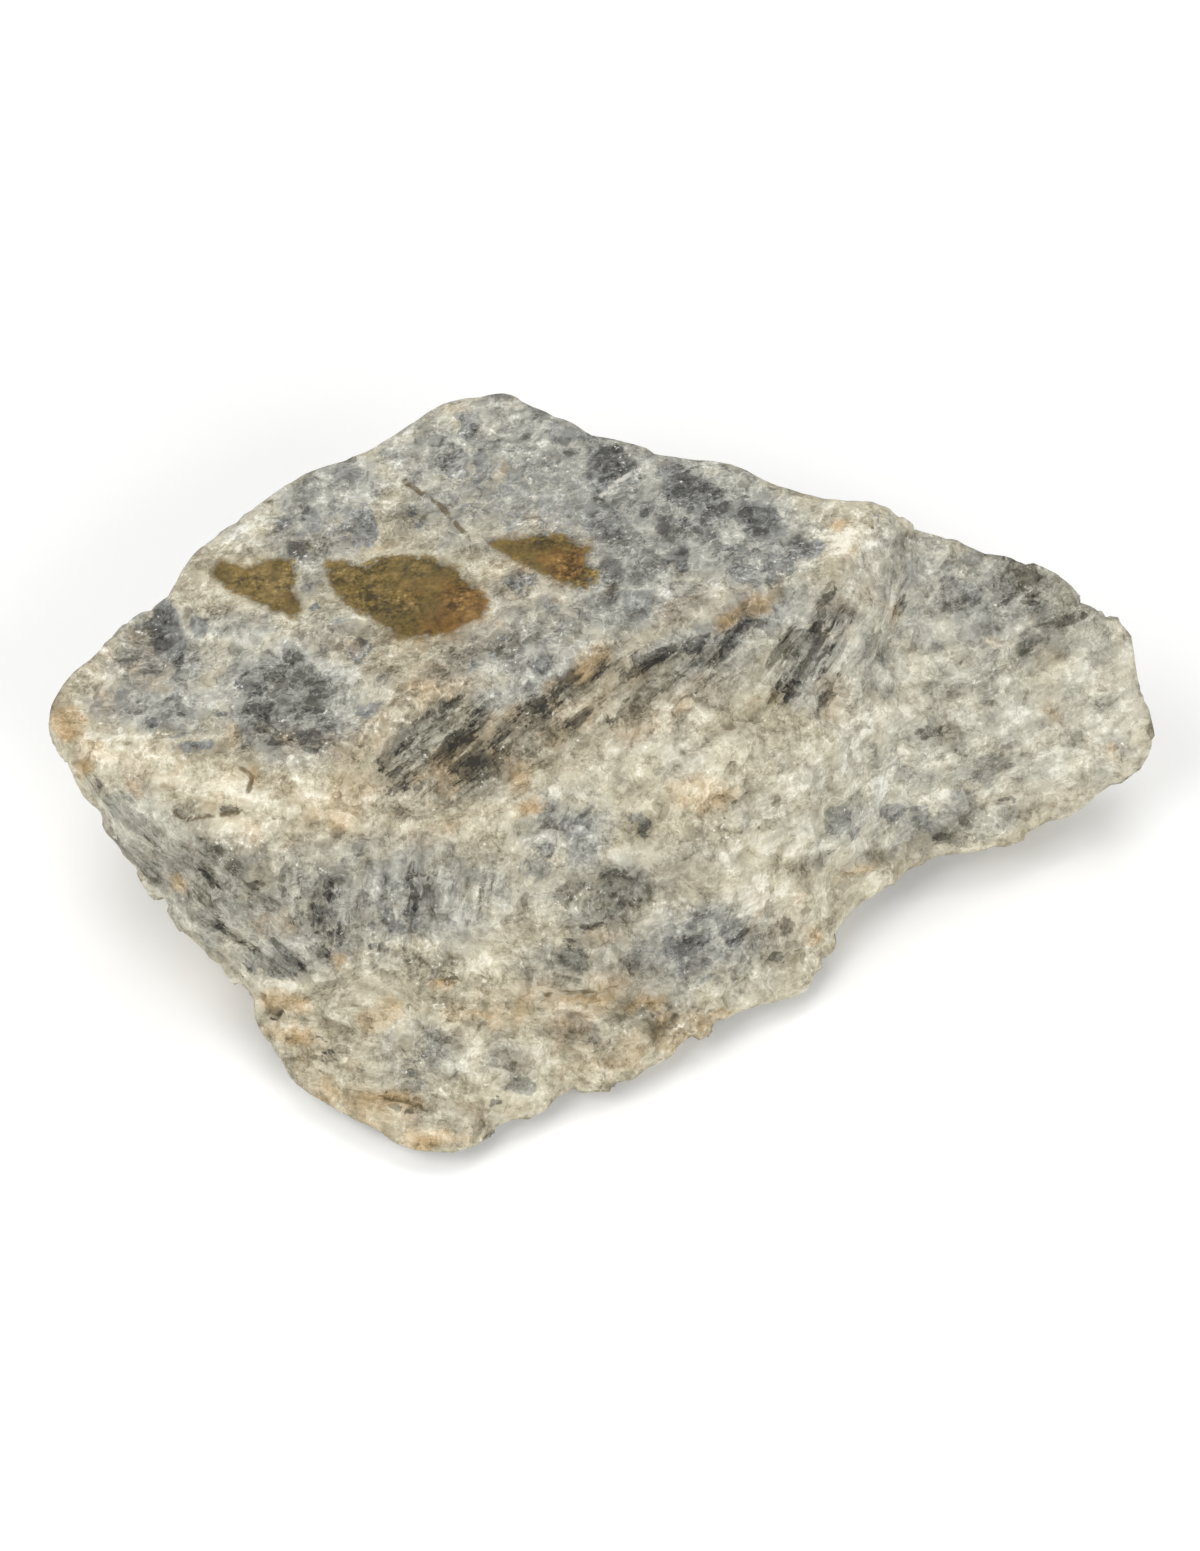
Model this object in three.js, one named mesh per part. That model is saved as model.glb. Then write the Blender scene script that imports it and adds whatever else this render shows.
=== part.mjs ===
// A raw piece of labradorite: one hand-sized lump of feldspar rock, broken on every side.
// A flat cleavage face makes its top. A streaked step drops from that face to a long belly,
// which runs down to a ragged front edge, and an arm reaches out to a blunt right end.
// Millimetres, +Z up. The stone rests on a flat broken face at z = 0, and its length runs along X.
import * as THREE from 'three';
import { ConvexHull } from 'three/addons/math/ConvexHull.js';
import { SimplexNoise } from 'three/addons/math/SimplexNoise.js';

// Driving dimensions.
const topHeightAtMiddle = 35.5; // the flat top above the table, over the origin of the corner lists
const topRisePerX = 0.16; // it climbs to the right
const topFallPerY = -0.03; // and dips a little to the back
const longestFacetEdge = 4.4; // every longer edge between two corners is halved
const frontElevation = THREE.MathUtils.degToRad(50); // how steeply one looks down on the front corners

// Relief of the broken surface: how wide each kind of lump is, and how far it stands out.
const broadLump = { width: 17, height: 0.75 };
const smallLump = { width: 6.5, height: 0.6 };
const chip = { width: 3.4, height: 0.3 };
const ledge = { pitch: 8.5, height: 0.9, dropShare: 0.2, waveLength: 20, waviness: 0.45 };
const flatTopShare = 0.3; // how much of that relief the cleavage face keeps
const terraceDrop = 1.3; // the left corner of the top lies this much lower

// Where one kind of surface fades into the next, [from, to].
const depthUnderTop = [0.5, 4]; // the flat cleavage gives way to broken rock
const distanceToFront = [-14, 0]; // measured as -y: the ledges fade in over this stretch of the depth
const heightOverLowEdge = [4, 12]; // they end above the low front edge
const heightOverFoot = [0, 3]; // the foot itself has no relief
const distanceOverTerrace = [0, 2]; // the slope of the terrace edge

// Corners of the flat top, [x, y]: its back edge from the left tip to the right, then its front edge.
const topBackEdge = [
  [-61, 1], [-61, 5], [-59, 8.5], [-56.5, 11], [-54.5, 14], [-53, 16.5], [-50, 18.5], [-47.5, 18.5],
  [-47, 20.5], [-46, 23], [-44, 26], [-40.5, 28.5], [-37.5, 31.5], [-34.5, 34], [-32.5, 35.5],
  [-28.5, 36], [-25.5, 37.5], [-22.5, 40], [-19, 43.5], [-16.5, 44.5], [-13.5, 44], [-11, 44],
  [-8, 42], [-4, 39], [-1, 36], [2.5, 34.5], [6, 32], [10.5, 30.5], [14.5, 29], [18.5, 25.5],
  [22, 23.5], [26.5, 21.5], [29.5, 21],
];
const topFrontEdge = [
  [-56, -2], [-49.5, -3], [-43.5, -6], [-37.5, -7], [-29.5, -7.5], [-23, -3], [-15, 1.5],
  [-9, 2.5], [-3.5, 3], [4.5, 6], [10.5, 7.5], [17.5, 8], [25, 10], [28, 15.5],
];
const topMiddle = [
  [-45, 8], [-34, 4], [-32, 20], [-20, 12], [-16, 28], [-5, 17], [6, 19], [16, 16],
];
// The edge between the lower left corner of the top and the rest of it.
const terraceEdge = [[-47, 17], [-40, 11], [-29, 8], [-22, -2]];

// Corners of the rest of the surface, [x, y, z].
const armTop = [
  [35, 21.5, 35], [39.5, 20.5, 33], [45, 20.5, 31], [50, 20, 29.5], [51.5, 19.5, 28.5],
  [52.5, 17.5, 27], [54.5, 17, 26], [57, 17, 25], [59, 16, 23.5],
];
const bluntEnd = [[59.5, 14, 21], [60, 11.5, 17], [61, 9, 13], [60, 8, 10]];
const lowFrontEdge = [
  [57, 7, 8], [54, 5, 6.5], [50, 3.5, 6], [46, 1, 5.5], [42, 0.5, 5], [37.5, -1, 4.5],
  [34.5, -3, 4.5], [29.5, -7, 4], [27, -9.5, 3.5], [24.5, -13, 3], [22, -17, 3], [17.5, -19.5, 3],
  [13, -23, 3], [9.5, -26, 3], [5, -28, 2.5], [2.5, -30, 2.5], [0, -31, 2.5], [-3, -30.5, 2.5],
  [-6.5, -34.5, 2.5], [-10.5, -36, 2.5], [-13, -39, 2.5], [-16.5, -40, 2.5], [-20, -39.5, 2.5],
  [-23.5, -37, 3], [-29.5, -34, 3], [-34, -29.5, 4], [-37, -24.5, 5], [-38, -21, 7],
];
const leftEdge = [
  [-40.5, -18, 9], [-44, -16, 11], [-46.5, -13.5, 13], [-50, -10.5, 16], [-53.5, -6.5, 19],
  [-55.5, -4.5, 21], [-57.5, -2, 23], [-59.5, -0.5, 24.5],
];
const footOfStep = [
  [-27, -9, 28.5], [-22, -8.5, 26], [-15.5, -9.5, 25], [-7.5, -6, 27], [1, -2.5, 30],
  [9.5, 0, 31.5], [19, -1, 28], [25.5, 2.5, 29.5], [29, 9, 35],
];
const belly = [
  [-51.5, -7, 23], [-45, -11.5, 23], [-36.5, -14.5, 23], [-27, -15, 23.5], [-17, -13.5, 23.5],
  [-6.5, -12, 25.5], [5.5, -8, 27], [17, -6.5, 26.5], [22.5, -3, 26], [28, 2, 22.5],
];
const leftFace = [
  [-44, -13.5, 16.5], [-38.5, -16.5, 14.5], [-32, -17.5, 17.5], [-33.5, -20.5, 11],
  [-28.5, -20.5, 12],
];
const lowBelly = [
  [-19, -17.5, 18.5], [-8.5, -16.5, 20.5], [2, -15, 22], [13, -12.5, 20.5], [22.5, -7.5, 17.5],
];
const armFace = [
  [32.5, 13, 29], [33, 6, 20.5], [33, 1, 12.5], [39.5, 12, 26.5], [39.5, 6, 18.5],
  [40, 2.5, 11], [47, 13, 24], [47.5, 8, 16.5], [54, 12, 22], [54.5, 8, 14.5],
];
const creaseOverLobe = [
  [-19, -23, 12], [-9.5, -24, 11.5], [0, -23.5, 10], [9.5, -22, 8], [17.5, -17.5, 7.5],
];
const lobe = [
  [-31, -27, 8], [-24.5, -32, 9], [-18, -33, 8.5], [-11.5, -32, 9], [-5, -28.5, 8],
  [4.5, -26.5, 7], [11, -23, 5],
];
const backWall = [
  [-49, -4, 9], [-54, 5, 12], [-50, 14, 12], [-43, 24, 12], [-33, 33, 13], [-22, 41, 14],
  [-11, 45, 14], [0, 41, 14], [10, 35, 14], [21, 30, 13], [32, 27, 13], [44, 25, 12],
  [54, 21, 11], [59, 14, 8],
];
// Outline of the flat face that it rests on, [x, y].
const foot = [
  [-33, -13], [-38, -8], [-40.5, -1], [-37, 6], [-38, 12], [-31, 19], [-25, 24], [-21, 31],
  [-13, 33], [-6, 36], [1, 31], [9, 28], [14, 22.5], [22, 21], [31, 17], [38, 18], [44, 14.5],
  [42, 11], [35, 7.5], [30, 6], [25, 1], [21, -6], [16, -10], [13, -16], [6, -20], [1, -25],
  [-6, -26.5], [-13, -31], [-19, -31.5], [-25, -27], [-27.5, -20],
];

const topHeight = (x, y) => topHeightAtMiddle + topRisePerX * x + topFallPerY * y;
const { smoothstep } = THREE.MathUtils;

// How far a place in the flat top lies beyond the terrace edge: positive on its low, left side.
function beyondTerrace(x, y) {
  let nearest = Infinity;
  let side = 0;
  for (let i = 1; i < terraceEdge.length; i++) {
    const [ax, ay] = terraceEdge[i - 1];
    const [bx, by] = terraceEdge[i];
    const [dx, dy] = [bx - ax, by - ay];
    const along = THREE.MathUtils.clamp(((x - ax) * dx + (y - ay) * dy) / (dx * dx + dy * dy), 0, 1);
    const distance = Math.hypot(x - ax - along * dx, y - ay - along * dy);
    if (distance < nearest) {
      nearest = distance;
      side = Math.sign((y - ay) * dx - (x - ax) * dy);
    }
  }
  return -side * nearest;
}

const onTop = ([x, y]) => new THREE.Vector3(x, y, topHeight(x, y));
const onTable = ([x, y]) => new THREE.Vector3(x, y, 0);
const inSpace = (place) => new THREE.Vector3(...place);

// Adds corners to the list of points, and gives back their numbers in it.
const numbered = (points, corners) => corners.map((corner) => points.push(corner) - 1);

// Joins two rows of corners that run the same way, always with the shorter of the two next edges.
function strip(points, rowA, rowB) {
  const triangles = [];
  let [i, j] = [0, 0];
  while (i < rowA.length - 1 || j < rowB.length - 1) {
    const stepA = i < rowA.length - 1 ? points[rowA[i + 1]].distanceTo(points[rowB[j]]) : Infinity;
    const stepB = j < rowB.length - 1 ? points[rowA[i]].distanceTo(points[rowB[j + 1]]) : Infinity;
    if (stepA < stepB) triangles.push([rowB[j], rowA[i], rowA[++i]]);
    else triangles.push([rowA[i], rowB[j + 1], rowB[j++]]);
  }
  return triangles.filter(([a, b, c]) => a !== b && b !== c && c !== a);
}

// The upper and front sides, as one looks down on them: the Delaunay triangles of their corners in that
// view, which are the lower hull of the corners lifted to a paraboloid, kept inside the outline.
function frontSkin(points, outline, inner) {
  const seen = (number) => {
    const { x, y, z } = points[number];
    return new THREE.Vector2(x, y * Math.sin(frontElevation) + z * Math.cos(frontElevation));
  };
  const numberOf = new Map();
  const lifted = [...outline, ...inner].map((number) => {
    const { x, y } = seen(number);
    const corner = new THREE.Vector3(x, y, x * x + y * y);
    numberOf.set(corner, number);
    return corner;
  });
  const ring = outline.map(seen);
  const isInside = ({ x, y }) => {
    let inside = false;
    ring.forEach((a, i) => {
      const b = ring[(i + 1) % ring.length];
      if (a.y > y !== b.y > y && x < a.x + ((y - a.y) / (b.y - a.y)) * (b.x - a.x)) inside = !inside;
    });
    return inside;
  };
  return new ConvexHull().setFromPoints(lifted).faces
    .filter((face) => face.normal.z < 0)
    .map(({ edge }) => [edge.head(), edge.tail(), edge.next.head()].map((v) => numberOf.get(v.point)))
    .filter((triangle) => {
      const [a, b, c] = triangle.map(seen);
      return isInside(a.clone().add(b).add(c).divideScalar(3));
    });
}

// The whole skin over the corners. The back edge hangs to a row half-way down the back wall, that row and
// the low front edge close in to the outline of the foot, and the foot is one flat face.
function skin(points) {
  const back = numbered(points, [
    ...leftEdge.map(inSpace),
    ...topBackEdge.map(onTop),
    ...[...armTop, ...bluntEnd].map(inSpace),
  ]);
  const low = numbered(points, lowFrontEdge.map(inSpace));
  const wall = numbered(points, backWall.map(inSpace));
  const bottom = numbered(points, foot.map(onTable));
  const inner = numbered(points, [
    ...[...topFrontEdge, ...topMiddle].map(onTop),
    ...[footOfStep, belly, leftFace, lowBelly, armFace, creaseOverLobe, lobe].flat().map(inSpace),
  ]);
  const [lowStart, lowEnd] = [low[0], low[low.length - 1]];
  const girdle = [lowEnd, ...wall, ...low];
  return [
    ...frontSkin(points, [...back, ...low], inner),
    ...strip(points, [lowEnd, ...back, lowStart], [lowEnd, ...wall, lowStart]),
    ...strip(points, girdle, [...bottom, bottom[0]]),
    ...THREE.ShapeUtils.triangulateShape(foot.map((place) => new THREE.Vector2(...place)), [])
      .map(([a, b, c]) => [bottom[a], bottom[c], bottom[b]]),
  ];
}

// Halves every edge longer than the longest facet edge, until none is left.
function splitLongEdges(points, triangles) {
  const middles = new Map();
  const middle = (a, b) => {
    const key = Math.min(a, b) + ' ' + Math.max(a, b);
    if (!middles.has(key)) {
      const long = points[a].distanceTo(points[b]) > longestFacetEdge;
      middles.set(key, long ? points.push(points[a].clone().lerp(points[b], 0.5)) - 1 : -1);
    }
    return middles.get(key);
  };
  let before = 0;
  while (triangles.length !== before) {
    before = triangles.length;
    triangles = triangles.flatMap((corner) => {
      const cut = [0, 1, 2].map((i) => middle(corner[i], corner[(i + 1) % 3]));
      const count = cut.filter((m) => m >= 0).length;
      if (count === 0) return [corner];
      if (count === 3) {
        const [ab, bc, ca] = cut;
        return [[corner[0], ab, ca], [ab, corner[1], bc], [ca, bc, corner[2]], [ab, bc, ca]];
      }
      // Turned so that the first edge is cut, and with two cuts the third edge is the whole one.
      const turn = count === 1 ? cut.findIndex((m) => m >= 0) : (cut.findIndex((m) => m < 0) + 1) % 3;
      const [a, b, c] = [0, 1, 2].map((i) => corner[(i + turn) % 3]);
      const [ab, bc] = [cut[turn], cut[(turn + 1) % 3]];
      if (count === 1) return [[a, ab, c], [ab, b, c]];
      return [[ab, b, bc], [a, ab, bc], [a, bc, c]];
    });
  }
  return triangles;
}

// A linear congruential generator, so that the relief is the same every time.
function seededRandom(seed) {
  const [factor, addend, range] = [1664525, 1013904223, 2 ** 32];
  let state = seed;
  return () => {
    state = (state * factor + addend) % range;
    return state / range;
  };
}
const reliefSeed = 7;
const noise = new SimplexNoise({ random: seededRandom(reliefSeed) });
const lumps = ({ width, height }, p) => height * noise.noise3d(p.x / width, p.y / width, p.z / width);

// Cleavage ledges run up to the right across the front: a slow rise and a sudden drop at each one.
const acrossLedges = new THREE.Vector3(-0.55, 0.6, 0.58);
function ledges(p) {
  const { pitch, height, dropShare, waveLength, waviness } = ledge;
  const wave = noise.noise3d(p.x / waveLength, p.y / waveLength, p.z / waveLength + pitch);
  const turns = p.dot(acrossLedges) / pitch + waviness * wave;
  const turn = turns - Math.floor(turns);
  const rise = Math.min(turn, (1 - turn) * (1 / dropShare - 1));
  return height * (rise - (1 - dropShare) / 2);
}

// How far the broken surface stands out from the skin at a place on it.
function relief(p) {
  const broken = smoothstep(topHeight(p.x, p.y) - p.z, ...depthUnderTop);
  const ledged = broken * smoothstep(-p.y, ...distanceToFront) * smoothstep(p.z, ...heightOverLowEdge);
  const lowered = (1 - broken) * smoothstep(beyondTerrace(p.x, p.y), ...distanceOverTerrace);
  const share = THREE.MathUtils.lerp(flatTopShare, 1, broken);
  const rough = share * (lumps(broadLump, p) + lumps(smallLump, p) + lumps(chip, p));
  return smoothstep(p.z, ...heightOverFoot) * (rough + ledged * ledges(p) - terraceDrop * lowered);
}

// The skin with its relief, centred over the origin, with the foot on the table.
function stone() {
  const points = [];
  const triangles = splitLongEdges(points, skin(points));
  const geometry = new THREE.BufferGeometry().setFromPoints(points).setIndex(triangles.flat());
  geometry.computeVertexNormals();
  const outward = geometry.getAttribute('normal');
  points.forEach((p, i) => p.addScaledVector(new THREE.Vector3().fromBufferAttribute(outward, i), relief(p)));
  geometry.setFromPoints(points);
  geometry.computeBoundingBox();
  const middle = geometry.boundingBox.getCenter(new THREE.Vector3());
  geometry.translate(-middle.x, -middle.y, -geometry.boundingBox.min.z);
  geometry.computeVertexNormals();
  return geometry;
}

const labradorite = new THREE.MeshStandardMaterial({
  color: 0xaca899,
  roughness: 0.7,
  metalness: 0,
  flatShading: true,
});

const part = new THREE.Group();
const mesh = new THREE.Mesh(stone(), labradorite);
mesh.name = 'labradorite';
part.add(mesh);

export default part;
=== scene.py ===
import math

import bmesh
import bpy
import numpy as np
from mathutils import Matrix


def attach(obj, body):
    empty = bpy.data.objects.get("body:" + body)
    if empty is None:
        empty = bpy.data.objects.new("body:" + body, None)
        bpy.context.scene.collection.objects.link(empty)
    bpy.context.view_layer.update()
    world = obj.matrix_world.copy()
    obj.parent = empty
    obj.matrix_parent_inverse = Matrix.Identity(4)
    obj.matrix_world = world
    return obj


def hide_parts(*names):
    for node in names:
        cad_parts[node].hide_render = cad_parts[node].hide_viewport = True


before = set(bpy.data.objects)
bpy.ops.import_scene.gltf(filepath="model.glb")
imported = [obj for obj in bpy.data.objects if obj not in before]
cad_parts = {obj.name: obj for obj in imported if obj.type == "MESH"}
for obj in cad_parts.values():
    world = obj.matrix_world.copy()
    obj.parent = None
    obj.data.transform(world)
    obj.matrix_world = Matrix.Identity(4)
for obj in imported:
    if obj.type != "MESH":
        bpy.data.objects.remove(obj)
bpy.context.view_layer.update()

# The camera
# A long lens looks down on the front of the stone from 50 degrees above the table, as in the photograph.
# The markings were read off the photograph, so this view is also what lays them on the stone further down.
MM = 0.001
PHOTO_WIDTH = 1200
PHOTO_HEIGHT = 1551
LENS_MM = 110
SENSOR_MM = 36
NEAREST_SEEN_MM = 50
FARTHEST_SEEN_MM = 5000
CAMERA_ELEVATION = math.radians(50)
CAMERA_DISTANCE_MM = 517
CAMERA_AIM_MM = np.array([-1.0, -2.5, 18.0])
VIEW_RIGHT = np.array([1.0, 0.0, 0.0])
VIEW_UP = np.array([0.0, math.sin(CAMERA_ELEVATION), math.cos(CAMERA_ELEVATION)])
TO_CAMERA = np.array([0.0, -math.cos(CAMERA_ELEVATION), math.sin(CAMERA_ELEVATION)])
PIXELS_PER_MM = PHOTO_HEIGHT * LENS_MM / SENSOR_MM / CAMERA_DISTANCE_MM


def in_photograph(places):
    """Pixels across and down at which the camera sees places in mm: the way right and the way up from the
    middle of the frame, divided by the depth, times the lens."""
    from_camera = places - (CAMERA_AIM_MM + CAMERA_DISTANCE_MM * TO_CAMERA)
    nearness = CAMERA_DISTANCE_MM / -(from_camera @ TO_CAMERA)
    across = PHOTO_WIDTH / 2 + PIXELS_PER_MM * nearness * (from_camera @ VIEW_RIGHT)
    down = PHOTO_HEIGHT / 2 - PIXELS_PER_MM * nearness * (from_camera @ VIEW_UP)
    return np.column_stack([across, down])


camera = bpy.data.objects.new("camera", bpy.data.cameras.new("camera"))
camera.data.lens = LENS_MM
camera.data.sensor_width = SENSOR_MM
camera.data.clip_start = NEAREST_SEEN_MM * MM
camera.data.clip_end = FARTHEST_SEEN_MM * MM
camera.location = (CAMERA_AIM_MM + CAMERA_DISTANCE_MM * TO_CAMERA) * MM
camera.rotation_euler = (math.pi / 2 - CAMERA_ELEVATION, 0, 0)
bpy.context.scene.collection.objects.link(camera)
bpy.context.scene.camera = camera

# The stone
# One lump of coarse feldspar rock, split from a bigger block: a flat cleavage face on top, a fibrous step
# below it, and hackly broken rock on all other sides. Nothing on it is worked by hand.
SMOOTHING_LEVELS = 2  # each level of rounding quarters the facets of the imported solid
FACET_SHARE = 0.25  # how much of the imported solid's flat facets is left after the rounding
SAME_CORNER_MM = 0.01


def rounded_solid(node):
    """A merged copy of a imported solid, rounded: each new corner lies between its place on the flat facets
    and its place on the Catmull-Clark surface."""
    corners = []
    for kind in ("SIMPLE", "CATMULL_CLARK"):
        merged = bmesh.new()
        merged.from_mesh(node.data)
        bmesh.ops.remove_doubles(merged, verts=merged.verts, dist=SAME_CORNER_MM * MM)
        mesh = bpy.data.meshes.new("labradorite_stone")
        merged.to_mesh(mesh)
        merged.free()
        whole = bpy.data.objects.new("labradorite_stone", mesh)
        bpy.context.scene.collection.objects.link(whole)
        rounding = whole.modifiers.new("rounding", "SUBSURF")
        rounding.subdivision_type = kind
        rounding.levels = SMOOTHING_LEVELS
        rounding.render_levels = SMOOTHING_LEVELS
        bpy.context.view_layer.update()
        fine = bpy.data.meshes.new_from_object(whole.evaluated_get(bpy.context.evaluated_depsgraph_get()))
        bpy.data.objects.remove(whole)
        bpy.data.meshes.remove(mesh)
        places = np.empty(len(fine.vertices) * 3)
        fine.vertices.foreach_get("co", places)
        corners.append(places.reshape(-1, 3))
    flat, round_ones = corners
    places = FACET_SHARE * flat + (1 - FACET_SHARE) * round_ones
    fine.vertices.foreach_set("co", places.ravel())
    fine.update()
    return fine, places


def outward(mesh):
    """The normals at the corners of a mesh, as an array."""
    normals = np.empty(len(mesh.vertices) * 3, np.float32)
    mesh.vertex_normals.foreach_get("vector", normals)
    return normals.reshape(-1, 3).astype(float)


stone_mesh, stone_places = rounded_solid(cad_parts["labradorite"])
stone_mm = stone_places / MM
stone_normals = outward(stone_mesh)


def smooth(values, low, high):
    """0 below low, 1 above high, and 3t² - 2t³ between them."""
    t = np.clip((values - low) / (high - low), 0, 1)
    return t * t * (3 - 2 * t)


# Seeded random numbers for every lattice below: a shuffled order, a slope and a jitter for each number.
LATTICE_SIZE = 256
LATTICE_SEED = 11
WAVE_GAIN = 1.7  # takes the highest wave to about 1
lattice_random = np.random.default_rng(LATTICE_SEED)
lattice_order = lattice_random.permutation(LATTICE_SIZE)
lattice_slopes = lattice_random.normal(size=(LATTICE_SIZE, 3))
lattice_slopes /= np.linalg.norm(lattice_slopes, axis=1, keepdims=True)
lattice_jitter = lattice_random.random((LATTICE_SIZE, 3))


def lattice_number(cells):
    """A random number under LATTICE_SIZE for each cell: its three counts, shuffled one after another."""
    across, along, up = cells.T & (LATTICE_SIZE - 1)
    first = lattice_order[across]
    second = lattice_order[(first + along) & (LATTICE_SIZE - 1)]
    return lattice_order[(second + up) & (LATTICE_SIZE - 1)]


def waves(places, width):
    """Gradient noise from about -1 to 1: at each corner of a lattice of cells of that width stands a random
    slope, and the slopes' heights are blended by 6t⁵ - 15t⁴ + 10t³."""
    scaled = places / width
    cells = np.floor(scaled).astype(np.int64)
    inside = scaled - cells
    blend = inside**3 * (inside * (inside * 6 - 15) + 10)
    height = np.zeros(len(places))
    for corner in np.ndindex(2, 2, 2):
        share = np.where(corner, blend, 1 - blend).prod(axis=1)
        slope = lattice_slopes[lattice_number(cells + corner)]
        height += share * np.einsum("ij,ij->i", slope, inside - corner)
    return height * WAVE_GAIN


def bends(places, width, shifts):
    """One wave for each shift, as columns. Waves read far apart have nothing to do with each other."""
    return np.column_stack([waves(places + shift, width) for shift in shifts])


def cells_around(places, width):
    """The cells of random points, one in each lattice cell: the distance to the nearest point and the way
    to it, both in mm, and its number."""
    scaled = places / width
    cells = np.floor(scaled).astype(np.int64)
    nearest = np.full(len(places), np.inf)
    way = np.zeros_like(places)
    number = np.zeros(len(places), np.int64)
    for offset in np.ndindex(3, 3, 3):
        cell = cells + np.array(offset) - 1
        own = lattice_number(cell)
        there = cell + lattice_jitter[own] - scaled
        distance = np.linalg.norm(there, axis=1)
        closer = distance < nearest
        nearest = np.where(closer, distance, nearest)
        way[closer] = there[closer]
        number[closer] = own[closer]
    return nearest * width, way * width, number


MARK_CORE = 0.45  # a mark has its whole strength this far out to its ellipse
MARK_END = 1.55  # and none from here on


def spots(seen, marks):
    """How strongly places seen at those pixels lie in any of the marks. A mark is an ellipse: pixels across
    and down of its middle, half its length and width in pixels, its turn in degrees, and its strength, which
    falls from the middle and passes half-way at the ellipse."""
    strongest = np.zeros(len(seen))
    for across, down, half_length, half_width, turn, strength in marks:
        dx = seen[:, 0] - across
        dy = down - seen[:, 1]
        c = math.cos(math.radians(turn))
        s = math.sin(math.radians(turn))
        reach = np.hypot((dx * c + dy * s) / half_length, (dy * c - dx * s) / half_width)
        strongest = np.maximum(strongest, strength * (1 - smooth(reach, MARK_CORE, MARK_END)))
    return strongest


def distance_to_line(seen, corners):
    """Pixels from places seen at those pixels to a line through the corners."""
    nearest = np.full(len(seen), np.inf)
    for start, end in zip(np.array(corners[:-1], float), np.array(corners[1:], float)):
        step = end - start
        along = np.clip((seen - start) @ step / (step @ step), 0, 1)
        nearest = np.minimum(nearest, np.linalg.norm(seen - start - along[:, None] * step, axis=1))
    return nearest


def depth_in_outline(seen, corners):
    """Pixels from places seen at those pixels to a closed outline, above 0 inside it and below 0 outside."""
    inside = np.zeros(len(seen), bool)
    ring = [*corners, corners[0]]
    for (ax, ay), (bx, by) in zip(ring[:-1], ring[1:]):
        crosses = (ay > seen[:, 1]) != (by > seen[:, 1])
        height = by - ay if by != ay else 1
        inside ^= crosses & (seen[:, 0] < ax + (seen[:, 1] - ay) / height * (bx - ax))
    return np.where(inside, 1, -1) * distance_to_line(seen, ring)


# Where the stone's own sides are: the cleavage face on top, and what the photograph shows of the rest.
TOP_HEIGHT_MM = 35.6  # the plane of the cleavage face over the origin, and its slopes to the right and back
TOP_RISE = 0.16
TOP_FALL = -0.03
TOP_RIM_MM = (1.6, 3.6)  # the rim of the face lies between these depths under its plane
FOOT_RIM_MM = 2.5  # the relief has faded out where the stone comes this near to the table
SHOWN_FACING = (-0.05, 0.3)  # how far a face turns to the camera, from hidden to shown
# Where the fibrous step cuts into the rim of the cleavage face.
CUT_INTO_RIM = [(432, 727, 58, 17, 36, 1.0), (600, 668, 80, 11, 34, 0.8), (815, 600, 40, 20, 60, 0.8)]
stone_seen = in_photograph(stone_mm)
facing = smooth(stone_normals @ TO_CAMERA, *SHOWN_FACING)
under_top = TOP_HEIGHT_MM + TOP_RISE * stone_mm[:, 0] + TOP_FALL * stone_mm[:, 1] - stone_mm[:, 2]
on_top = 1 - smooth(under_top, *TOP_RIM_MM)
on_top *= 1 - facing * spots(stone_seen, CUT_INTO_RIM)
off_foot = smooth(stone_mm[:, 2], 0.0, FOOT_RIM_MM)

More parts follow.
